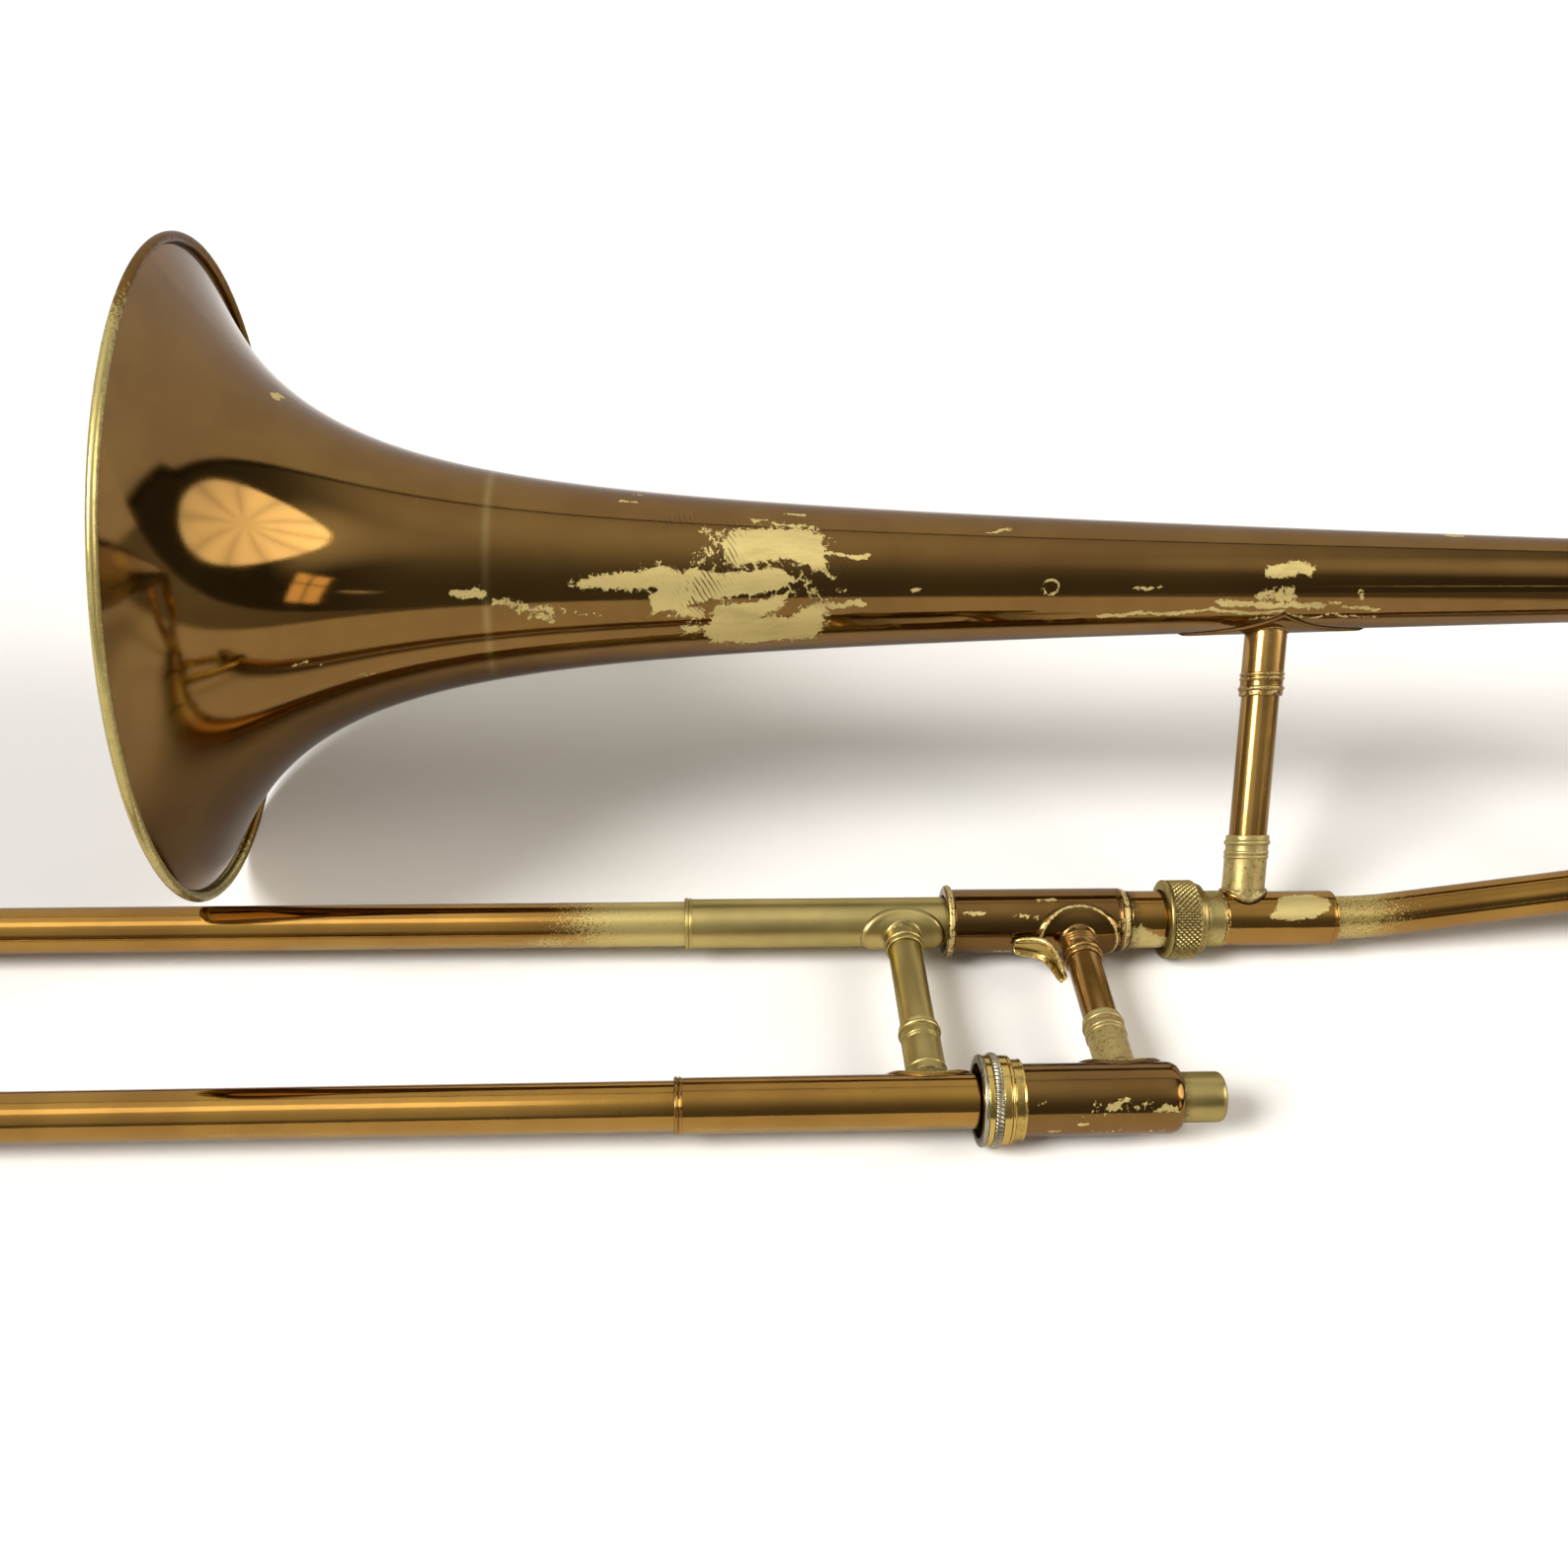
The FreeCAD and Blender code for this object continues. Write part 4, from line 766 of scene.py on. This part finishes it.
lathe("mouth_barrel", outline, inside, on_axis(MOUTH), DARK, "inner_slide", ("barrel_mouth",), edge_wear=0.08,
      wear=strokes((264, 37, 265, 34, 1.3, 0.85), (268.3, 36, 268.8, 33, 1.3, 0.9), (271.3, 46, 272, 44, 0.9, 0.8),
                   (273, 26, 274, 32, 1.2, 0.66), (277, 38, 279, 35, 0.9, 0.56), (280, 26, 282, 28, 0.9, 0.52),
                   (283, 33, 284.5, 26, 1.1, 0.68), (286, 31, 287, 26, 0.9, 0.66), (259, 5, 261, 4, 1.0, 0.8),
                   (250, -11, 254, -12, 1.1, 0.62), (249, 42, 250, 38, 0.9, 0.75), (262, 26, 278, 30, 4.0, 0.33),
                   (262, -16, 284, -18, 2.4, 0.34)))
start, end = ends("mouthpiece_receiver")
outline = [(start, receiver), (end - 1.4, receiver), (end - 0.5, receiver - 0.25), (end - 0.1, receiver - 0.65),
           (end, receiver - 0.8)]
inside = [(start, 5.9), (start + 6, 5.9), (end - 8, 6.25), (end, 6.25)]
lathe("receiver", outline, inside, on_axis(MOUTH), NUT_BRASS, "inner_slide", ("mouthpiece_receiver",),
      wear=everywhere(0.05), grime=line_round(289.9, 0.9, 0.9))

# slide lock: nickel bead, band, roped nickel band, band, thin ring, stepped end
start, end = ends("lock_ring")
ring, rope_r = girth("lock_ring"), girth("lock_ring_rope")
rope_start, rope_end = ends("lock_ring_rope")
RING_BORE = 10.5
lathe("lock_ring_bead", bead(start + 0.8, ring - 0.9, 0.9, 1.6, 12), RING_BORE, on_axis(MOUTH), NICKEL_PLATE,
      "slide_lock", fillet=0.1, wear=everywhere(0.1))
shelf, tip = ring - 0.35, ring - 1.5
band = [(start + 1.4, ring - 1.2), (start + 1.5, shelf), (rope_start, shelf), (rope_start, ring - 0.9),
        (rope_end, ring - 0.9), (rope_end, shelf), (rope_end + 2.2, shelf), (rope_end + 2.3, shelf - 0.5),
        *bead(rope_end + 2.9, shelf - 0.5, 0.4, 1.0, 6), (rope_end + 3.5, shelf - 0.6), (rope_end + 3.6, tip),
        (end - 0.9, tip - 0.1), (end - 0.6, tip + 0.1), (end - 0.2, tip), (end, tip - 0.5)]
lathe("lock_ring_band", band, RING_BORE + 0.02, on_axis(MOUTH), BRIGHT_BRASS, "slide_lock", ("lock_ring",),
      fillet=0.2, edge_wear=0.3)


def rope_relief(x, turn):
    """Slanting ridges round the band."""
    return 0.22 * np.sin(66 * turn + 2.2 * (x - rope_start))


# The slanting grooves of the rope are darkened as painted shade
lathe("lock_ring_rope_band", bead((rope_start + rope_end) / 2, ring - 0.55, rope_r - ring + 0.39,
                                  rope_end - rope_start, 10), ring - 0.95, on_axis(MOUTH), NICKEL_PLATE,
      "slide_lock", ("lock_ring_rope",), segments=504, fillet=0.05, relief=rope_relief, wear=everywhere(0.1))

# --- joint to the bell ----------------------------------------------------------------------------

start, end = ends("slide_tenon")
nut_start, nut_end = ends("lock_nut")
tenon = 9.2
flange_start, flange_end, thread = 304.7, 307.5, girth("slide_tenon")
outline = [(start, tenon), (flange_start, tenon), (flange_start, thread), (flange_end, thread), (flange_end, 7.6),
           (end, 7.0)]
inside = [(start, INNER), (start + 8, INNER), (start + 8, INNER - 0.3), (end, INNER - 0.3)]
lathe("tenon", outline, inside, on_axis(NECK), LACQUERED, "inner_slide", ("slide_tenon",),
      wear=patch(((290, 22), (296, 24), (299, 12), (304, 0), (304, -40), (290, -40)), halo=1.5),
      grime=strokes((292.5, -180, 292.5, 180, 0.8, 0.9), (303, -180, 303, 180, 0.8, 0.7)))

nut = girth("lock_nut")
KNURL_START, KNURL_END = nut_start + 2.0, nut_end - 2.4
KNURL_COUNT, KNURL_SLANT, KNURL_DEPTH = 44, 3.6, 0.40


def nut_relief(x, turn):
    """Diamond knurling between two slanting sets of grooves."""
    inside_band = (x > KNURL_START) & (x < KNURL_END)
    first = np.abs(np.sin(KNURL_COUNT / 2 * turn + KNURL_SLANT / 2 * x))
    second = np.abs(np.sin(KNURL_COUNT / 2 * turn - KNURL_SLANT / 2 * x))
    return inside_band * KNURL_DEPTH * (np.minimum(first, second) * 2 - 1.2)


body_r = nut - 0.35
outline = [(nut_start, nut - 1.3), (nut_start + 0.5, nut - 0.3), (nut_start + 0.9, nut), (nut_start + 1.4, nut),
           (KNURL_START - 0.2, body_r - 0.3), (KNURL_START, body_r),
           (KNURL_END, body_r), (KNURL_END + 0.5, body_r - 0.4), (nut_end - 1.6, body_r - 0.5),
           (nut_end - 0.8, nut - 1.3), (nut_end, nut - 1.5)]
inside = [(nut_start, tenon + 0.3), (nut_start + 1, tenon + 0.3), (nut_start + 1, 10.9), (nut_end, 10.9)]
# The knurl's grooves and the recesses on either side of it are darkened as painted shade
lathe("joint_nut", outline, inside, on_axis(NECK), NUT_BRASS, "bell_lock_nut", ("lock_nut",), segments=528,
      longest=0.24, fillet=0.15, relief=nut_relief, wear=everywhere(0.1),
      grime=added(line_round(nut_start + 1.8, 0.4, 0.8), line_round(nut_end - 1.4, 0.5, 0.6)))

start, end = ends("neckpipe_receiver")
stub, socket = 9.1, 8.3
thread_end, ferrule_start = 314.0, ends("neckpipe_ferrule")[0]
threads = [point for number in range(4) for point in bead(start + 0.9 + 1.3 * number, thread - 0.25, 0.25, 1.1, 4)]
outline = [(start, thread - 0.3), *threads, (thread_end, thread - 0.3), (thread_end, stub), (316.2, stub),
           *bead(317.0, stub, 0.35, 1.2, 6), (317.8, stub), (ferrule_start, stub), (ferrule_start, socket),
           (end, socket)]
lathe("bell_receiver", outline, [(start, 7.65), (end, 7.05)], on_axis(NECK), RAW_BRASS, "bell_section",
      ("neckpipe_receiver",), wear=everywhere(0.02), grime=added(everywhere(0.25), line_round(316, 1.0, 0.6)))
start, end = ends("neckpipe_ferrule")
ferrule = girth("neckpipe_ferrule")
outline = [(start, ferrule - 0.4), *bead(start + 0.8, ferrule - 0.1, 0.1, 1.2, 4), (start + 1.6, ferrule - 0.12),
           (end - 2.2, ferrule - 0.12), *bead(end - 1.6, ferrule - 0.12, -0.2, 0.6, 4), (end - 1.1, ferrule - 0.1),
           (end - 0.4, ferrule - 0.2), (end, ferrule - 0.8)]
neckpipe = 6.95
lathe("bell_ferrule", outline, [(start, socket + 0.02), (354, socket + 0.02), (354, neckpipe + 0.02),
                                (end, neckpipe + 0.02)], on_axis(NECK), LACQUERED, "bell_section",
      ("neckpipe_ferrule",), edge_wear=0.45,
      wear=patch(((337, 40), (339, 62), (342, 95), (353, 98), (357, 80), (356, 55), (351, 40), (345, 36)),
                 halo=1.0),
      grime=line_round(start - 0.2, 0.8, 0.8))

BEND_R, BEND_RUN, BEND_START = 150.0, 76.0, 363.0
BEND = math.radians(6.5)
start, end = ends("neckpipe")[0], ends("tuning_outer_leg_neck")[0]


def bend_points(centre, first, last, side):
    """Points and directions round a gentle bend in the local XZ plane; side is -1 for a rising one."""
    return [(centre + Vector((math.sin(turn), 0, side * math.cos(turn))) * BEND_R,
             Vector((math.cos(turn), 0, -side * math.sin(turn)))) for turn in np.linspace(first, last, 10)]


lead = BEND_START - start
first_bend = bend_points(Vector((lead, 0, BEND_R)), 0, BEND, -1)
run_end = first_bend[-1][0] + first_bend[-1][1] * BEND_RUN
second_centre = run_end + Vector((math.sin(BEND), 0, -math.cos(BEND))) * BEND_R
second_bend = bend_points(second_centre, -BEND, 0, 1)
run = [(first_bend[-1][0].lerp(run_end, share), first_bend[-1][1]) for share in np.linspace(0, 1, 20)[1:-1]]
last_point = Vector((end + 4 - start, 0, second_bend[-1][0].z))
neck_path = [(Vector((lead * share, 0, 0)), Vector((1, 0, 0))) for share in (0, 0.25, 0.5, 0.75)]
neck_path += first_bend + run + second_bend + [(last_point, Vector((1, 0, 0)))]
neck_seat = on_axis(NECK) @ Matrix.Translation((start, 0, 0)) @ Matrix.Rotation(-TO_BELL, 4, "X")
sweep("gooseneck", neck_path, [neckpipe] * len(neck_path), 0.6, neck_seat, FADED, "bell_section", ("neckpipe",),
      wear=ramp_along(16, 44, 0.58, 0.04))

# --- tuning slide ---------------------------------------------------------------------------------

for side, axis in (("bell", BELL), ("neck", TAIL)):
    start, end = ends(f"tuning_outer_leg_{side}")
    leg = girth(f"tuning_outer_leg_{side}")
    lathe(f"tuning_leg_{side}", [(start, leg), (end, leg)], leg - 0.5, on_axis(axis), LACQUERED, "bell_section",
          (f"tuning_outer_leg_{side}",), segments=96, fillet=0.15, wear=everywhere(0.04))
    low, high = ends(f"tuning_inner_leg_{side}")
    inner = girth(f"tuning_inner_leg_{side}")
    lathe(f"tuning_slide_leg_{side}", [(low, inner), (high, inner)], inner - 0.5, on_axis(axis), NICKEL_PLATE,
          "tuning_slide", (f"tuning_inner_leg_{side}",), segments=96, fillet=0.1)
    low, high = ends(f"tuning_ferrule_{side}")
    skin = girth(f"tuning_ferrule_{side}")
    lap = bell_radius(low) if side == "bell" else neckpipe
    ring = (1.4, 0.5, 0.5, 2.0, 2.8)
    lathe(f"tuning_leg_ferrule_{side}", ferrule_outline(low, high, skin, ring, ring, (0.7, 0.7)),
          [(low, lap), (start, lap), (start, leg), (high, leg)], on_axis(axis), LACQUERED, "bell_section",
          (f"tuning_ferrule_{side}",), wear=everywhere(0.06), edge_wear=0.35)
    low, high = ends(f"crook_ferrule_{side}")
    skin = girth(f"crook_ferrule_{side}")
    outline = ferrule_outline(low, high, skin, (1.0, 0.35, 0.35, 1.4, 2.0), (0.8, 0.3, 0.25, 1.2, 1.6), (0.5, 0.8))
    lathe(f"tuning_crook_ferrule_{side}", outline, inner, on_axis(axis), LACQUERED, "tuning_slide",
          (f"crook_ferrule_{side}",), wear=everywhere(0.06), edge_wear=0.35)

crook_x = ends("tuning_crook")[0]
wide, narrow = girth("tuning_outer_leg_bell"), girth("tuning_outer_leg_neck")
crook_reach = TAIL_SPACING / 2
crook_path, crook_radii = [], []
for turn in np.linspace(0, math.pi, 61):
    crook_path.append((Vector((crook_reach * math.sin(turn), 0, crook_reach * math.cos(turn))),
                       Vector((math.cos(turn), 0, -math.sin(turn)))))
    crook_radii.append(wide + (narrow - wide) * turn / math.pi)
centre = ((BELL[0] + TAIL[0]) / 2, (BELL[1] + TAIL[1]) / 2)
sweep("tuning_bow", crook_path, crook_radii, 0.6,
      on_axis(centre) @ Matrix.Translation((crook_x, 0, 0)) @ Matrix.Rotation(-TO_BELL, 4, "X"), LACQUERED,
      "tuning_slide", ("tuning_crook",), segments=96, wear=everywhere(0.04))


# --- braces ---------------------------------------------------------------------------------------

SLIDE_BRACE, SLIDE_SOCKET, BELL_BRACE, BELL_SOCKET = 5.25, 5.85, 6.0, 6.75
OUTER_BRACE_X, INNER_BRACE_X, BELL_BRACE_X, TAIL_BRACE_X = 219.0, 274.5, 330.0, 503.0
BELL_BRACE_LEAN = math.radians(5.7)


def socket_outline(foot, reach, radius, style):
    """Outside of a brace socket from its foot to its mouth."""
    ring = radius + 0.5
    if style == "grooved":
        marks = grooves(radius, reach - 8.2, reach - 7.0, reach - 5.8)
    elif style == "collar":
        marks = [*bead(foot + 3.0, radius, 0.3, 1.2, 6), *grooves(radius, reach - 7.2, reach - 6.2)]
    else:
        marks = [*bead(reach - 7.0, radius, 0.35, 1.1, 6), *bead(reach - 5.6, radius, 0.35, 1.1, 6)]
    return [(foot, radius), *marks, (reach - 3.4, radius), *bead(reach - 2.4, radius, 0.55, 1.5, 8),
            (reach - 1.5, radius + 0.1), (reach - 0.3, radius + 0.1), (reach, ring - 0.6)]


def brace(prefix, x, axis, turn, spacing, tube, socket, body, near, far, tube_material, tube_wear, lean=0.0):
    """Two sockets on saddles and the tube between them.

    near and far are (node end, radius of the tube it stands on, half length, half width, reach,
    saddle outline, socket style, material, saddle material, wear, rim wear).
    """
    base = on_axis(axis) @ Matrix.Translation((x, 0, 0)) @ Matrix.Rotation(turn, 4, "X")
    rise = spacing * math.tan(lean)
    turned_over = base @ Matrix.Translation((rise, 0, spacing)) @ Matrix.Rotation(math.pi, 4, "X")
    hidden = (f"{prefix}_sockets",)
    for seat, tilt, spec in ((base, lean, near), (turned_over, -lean, far)):
        side, stood, half_length, half_width, reach, outline, style, material, plate_material, wear, rim_wear = spec
        radius = stood if callable(stood) else (lambda _, fixed=stood: fixed)
        saddle(f"{prefix}_flange_{side}", seat, radius, half_length, half_width, plate_material, body,
               (f"{prefix}_saddle_{side}",), outline, 0.25 if outline is oval else 0.0, rim_wear)
        foot = radius(0) + 0.4
        stood_on(radius(0) + 0.6, socket_outline(foot, reach, socket, style), tube, seat,
                 f"{prefix}_socket_{side}", material, body, tilt, wear, hidden)
        hidden = ()
    start, end = near[4] - 4, spacing - far[4] + 4
    slant = Matrix.Shear("XY", 4, (0, 0))
    slant[0][2] = math.tan(lean)
    lathe(f"{prefix}_rod", [(start, tube), (end, tube)], tube - 0.5,
          base @ slant @ Matrix.Rotation(-math.pi / 2, 4, "Y"), tube_material, body, (f"{prefix}_tube",),
          segments=96, fillet=0.1, wear=tube_wear)


sleeve_wall = girth("sleeve_neck") - 0.45
brace("outer_brace", OUTER_BRACE_X, NECK, math.pi / 2, SLIDE_SPACING, SLIDE_BRACE, SLIDE_SOCKET, "outer_slide",
      ("neck", sleeve_wall, 13.5, 10.5, 14, oval, "grooved", RAW_BRASS, RAW_BRASS, everywhere(0.12), 0.3),
      ("mouth", sleeve_wall, 13.5, 9.5, 29, oval, "collar", RAW_BRASS, FADED, everywhere(0.1), 0.7), RAW_BRASS,
      everywhere(0.12))
brace("inner_brace", INNER_BRACE_X, NECK, math.pi / 2, SLIDE_SPACING, SLIDE_BRACE, SLIDE_SOCKET, "inner_slide",
      ("neck", barrel, 14, 13.0, 20, oval, "grooved", BRACE_LACQUER, DARK, everywhere(0.10), 0.70),
      ("mouth", barrel, 14, 11.5, 31, oval, "beaded", BRACE_LACQUER, DARK, everywhere(0.62), 0.7),
      BRACE_LACQUER, everywhere(0.05))
brace_top = BELL_BRACE_X + BELL_SPACING * math.tan(BELL_BRACE_LEAN)
brace("bell_brace", BELL_BRACE_X, NECK, -TO_BELL, BELL_SPACING, BELL_BRACE, BELL_SOCKET, "bell_section",
      ("neck", ferrule, 7, 7.6, 27, oval, "beaded", BRACE_LACQUER, LACQUERED, everywhere(0.64), 0.3),
      ("bell", lambda x: bell_radius(brace_top + x), 31, 13.5, 38, ogee, "beaded", BRACE_LACQUER, BELL_LACQUER,
       everywhere(0.20), 0.1), BRACE_LACQUER, strokes((30, 120, 75, 120, 1.6, 0.50)),
      BELL_BRACE_LEAN)
brace("tail_brace", TAIL_BRACE_X, TAIL, -TO_BELL, TAIL_SPACING, SLIDE_BRACE, SLIDE_SOCKET, "bell_section",
      ("neck", narrow, 14, 8.5, 20, oval, "grooved", LACQUERED, DARK, everywhere(0.1), 0.6),
      ("bell", wide, 14, 11.5, 26, oval, "grooved", LACQUERED, DARK, everywhere(0.1), 0.6), LACQUERED,
      everywhere(0.06))


# --- finger rest ----------------------------------------------------------------------------------

REST_CURVE = ((0.2, 14.2), (11.4, 13.8), (12.4, 11.5), (13.9, -1.2))
REST_RIM, REST_SKIN, REST_DISH = 0.95, 0.45, 1.1


def finger_rest():
    """A bent plate in the corner between the barrel and the brace, dished, with a rolled rim."""
    low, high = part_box("finger_rest")
    half_width = (high.z - low.z) / 2 / MM
    controls = [np.array(point) for point in REST_CURVE]
    rows = 48
    vertices, wear = [], []
    for row in range(rows + 1):
        share = row / rows
        rest = 1 - share
        point = (rest ** 3 * controls[0] + 3 * rest ** 2 * share * controls[1]
                 + 3 * rest * share ** 2 * controls[2] + share ** 3 * controls[3])
        along = (rest ** 2 * (controls[1] - controls[0]) + 2 * rest * share * (controls[2] - controls[1])
                 + share ** 2 * (controls[3] - controls[2]))
        along /= np.linalg.norm(along)
        outward = np.array((-along[1], along[0]))
        edge = half_width * (0.55 + 0.45 * math.sin(math.pi * min(1, 0.10 + 0.86 * share)) ** 0.8) - REST_RIM
        rim = REST_RIM * min(1, 0.45 + 8 * min(share, rest))
        section = [(edge + rim * math.cos(turn), rim * math.sin(turn)) for turn in np.linspace(2.6, -2.6, 11)]
        web = [(side * edge, REST_DISH * (1 - side * side)) for side in np.linspace(0.75, -0.75, 9)]
        section += [(side, dish - REST_SKIN) for side, dish in web]
        section += [(-side, -out) for side, out in section[:11]]
        section += [(side, dish + REST_SKIN) for side, dish in web[::-1]]
        for number, (side, out) in enumerate(section):
            place = point + outward * (out - REST_RIM)
            vertices.append((place[0], place[1], side))
            wear.append(0.5 if number < 11 or 20 <= number < 31 else 0.1)
    columns = len(section)
    faces = grid_faces(rows + 1, columns, False)
    faces.append(tuple(range(columns))[::-1])
    faces.append(tuple(rows * columns + column for column in range(columns)))
    seat = Matrix.Translation((low.x, low.y, (low.z + high.z) / 2)) @ Matrix.Diagonal((MM, MM, MM, 1))
    piece("hand_rest", vertices, faces, BRIGHT_BRASS, "inner_slide", ("finger_rest",), {"wear": wear}, seat)


finger_rest()


# --- floor, light and camera ------------------------------------------------------------------------

ROOM_LEVEL, BACKDROP_EDGE = 0.19, 0.335
UMBRELLA_LENGTH, UMBRELLA_WIDTH = math.radians(27), math.radians(17)  # half angles
UMBRELLA_LIFT, AMBIENT_CUT = 0.8, 0.92  # what diffuse rays see more of the umbrella and less of the room
KEY_AZIMUTH, KEY_HEIGHT, KEY_SPREAD = math.radians(-152), math.radians(39), math.radians(25)


def add_floor():
    size = 4.0
    mesh = bpy.data.meshes.new("floor")
    corners = [(-size, -size, 0), (size, -size, 0), (size, size, 0), (-size, size, 0)]
    mesh.from_pydata(corners, [], [(0, 1, 2, 3)])
    floor = bpy.data.objects.new("floor", mesh)
    bpy.context.scene.collection.objects.link(floor)
    floor.location.z = -0.0004
    material = bpy.data.materials.new("floor")
    t = Tree(material)
    cloud = t.noise(t.place(), 180.0, 4.0)
    paper = t.mix(t.step(cloud, 0.3, 0.7), colour(0.87, 0.865, 0.86), colour(0.91, 0.905, 0.90))
    x, y, _ = t.parts(t.place())
    beside = y - x * 0.33
    # Far to the right the floor is painted dark only as seen in reflections: a painted dark reflection
    dark_in_reflections = t.step(x, 520, 620) * t.step(beside, 70, 10) * t.ray("Glossy")
    t.set(Base_Color=t.mix(dark_in_reflections, paper, colour(0.16, 0.15, 0.14)), Roughness=0.75)
    mesh.materials.append(material)
    floor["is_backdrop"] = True


def add_world():
    """A pale backdrop behind and above, a dim room on the near side, and a lit umbrella on the right."""
    world = bpy.data.worlds.new("studio")
    bpy.context.scene.world = world
    t = Tree(world, "Background")
    direction = t.node("ShaderNodeTexCoord", output="Generated")
    x, y, z = t.parts(direction)

    def along(aim):
        return t.node("ShaderNodeVectorMath", direction, aim, output="Value", operation="DOT_PRODUCT")

    upward = t.math("MAXIMUM", z, 0.0)
    left = t.step(x, 0.02, -0.12) * t.step(z, 0.1, 0.35, 0.0, 0.5)
    room = (ROOM_LEVEL + upward ** 3.8 * 0.92 + left) * t.step(x, 0.3, 0.7, 1.0, 0.4)
    low_right = t.step(z, 0.24, 0.14) * t.step(x, 0.3, 0.6)
    y = y - low_right * 0.05
    backdrop = t.step(y, BACKDROP_EDGE, BACKDROP_EDGE + 0.04)
    seam = t.step(y, BACKDROP_EDGE - 0.03, BACKDROP_EDGE) * t.step(y, BACKDROP_EDGE + 0.04, BACKDROP_EDGE + 0.01)
    level = (room + backdrop * (1.05 - room)) * (1.0 - seam * 0.75)

    hub, long_way = Vector((0.869, -0.129, 0.477)).normalized(), Vector((-0.43, -0.67, 0.606)).normalized()
    short_way = hub.cross(long_way).normalized()
    across, upright = along(long_way) / math.sin(UMBRELLA_LENGTH), along(short_way) / math.sin(UMBRELLA_WIDTH)
    reach = t.math("SQRT", across * across + upright * upright)
    inside = t.step(reach, 1.02, 0.94) * t.step(along(hub), 0.0, 0.1)
    spoke = t.math("ARCTAN2", upright, across + 0.04)
    ribs = 0.55 + abs(t.math("SINE", spoke * 5.0)) ** 0.5 * 0.47
    glow = 4.6 + across * 2.0
    halo = t.step(reach, 1.7, 1.0, 0.0, 0.9) * t.step(across, 0.2, 0.9) * (1.0 - inside)
    umbrella = inside * (ribs * glow) + halo
    overhead = t.step(x, -0.02, -0.14) * t.step(abs(y + 0.31), 0.2, 0.13) * t.step(z, 0.5, 0.6) * 2.0
    pane = (t.step(abs(z - 0.215), 0.012, 0.006) * t.step(x, 0.42, 0.5)
            * t.step(y, -0.78, -0.83, 0.0, 1.8))
    centre = Vector((0.699, -0.681, 0.218)).normalized()
    sideways = centre.cross(Vector((0, 0, 1))).normalized()
    u, v = along(sideways), along(sideways.cross(centre))
    window = t.step(abs(u), 0.1, 0.08) * t.step(abs(v), 0.16, 0.13)
    bars = t.step(abs(u), 0.004, 0.018, 0.35, 1.0) * t.step(abs(v - 0.045), 0.004, 0.018, 0.45, 1.0)
    window = window * bars * t.step(along(centre), 0.0, 0.1, 0.0, 2.8)
    warm = t.math("MINIMUM", window, 1.0)
    diffuse = t.ray("Diffuse")
    lights = umbrella * (1.0 + diffuse * UMBRELLA_LIFT) + (window + pane + overhead * (1.0 - diffuse))
    level = level * (1.0 - diffuse * AMBIENT_CUT) + lights
    tint = t.mix(t.step(level, 0.1, 0.8), colour(1.0, 0.96, 0.90), colour(1.0, 0.985, 0.955))
    tint = t.mix(warm, tint, colour(1.0, 0.74, 0.45))
    tint = t.mix(diffuse, tint, colour(1.0, 0.92, 0.78))
    seen = t.ray("Camera")
    t.set(Color=t.mix(seen, tint, colour(0.93, 0.925, 0.92)), Strength=level * (1.0 - seen) + seen)


def add_camera():
    yaw, pitch, roll = math.radians(4.862), math.radians(36.138), math.radians(2.626)
    camera = bpy.data.objects.new("camera", bpy.data.cameras.new("camera"))
    bpy.context.scene.collection.objects.link(camera)
    camera.location = (0.1211, -0.4352, 0.3589)
    forward = Vector((math.sin(yaw) * math.cos(pitch), math.cos(yaw) * math.cos(pitch), -math.sin(pitch)))
    level = Vector((math.cos(yaw), -math.sin(yaw), 0))
    upward = level.cross(forward)
    right = level * math.cos(roll) + upward * math.sin(roll)
    above = upward * math.cos(roll) - level * math.sin(roll)
    camera.rotation_euler = Matrix((right, above, -forward)).transposed().to_euler()
    camera.data.sensor_width = 36.0
    camera.data.lens = 37.952
    bpy.context.scene.camera = camera
    bpy.context.scene.view_settings.view_transform = "Standard"


def add_key():
    """One broad soft light on the left."""
    data = bpy.data.lights.new("key", "SUN")
    data.angle = KEY_SPREAD
    data.energy = 3.7
    data.color = (1.0, 0.985, 0.96)
    lamp = bpy.data.objects.new("key", data)
    towards = Vector((math.cos(KEY_AZIMUTH) * math.cos(KEY_HEIGHT), math.sin(KEY_AZIMUTH) * math.cos(KEY_HEIGHT),
                      math.sin(KEY_HEIGHT)))
    lamp.rotation_euler = (-towards).to_track_quat("-Z", "Y").to_euler()
    bpy.context.scene.collection.objects.link(lamp)


add_floor()
add_world()
add_key()
add_camera()

low, high = CAD_BOX
new_low, new_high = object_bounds()
{"cad": [list(low), list(high)], "visual": [list(new_low), list(new_high)]}
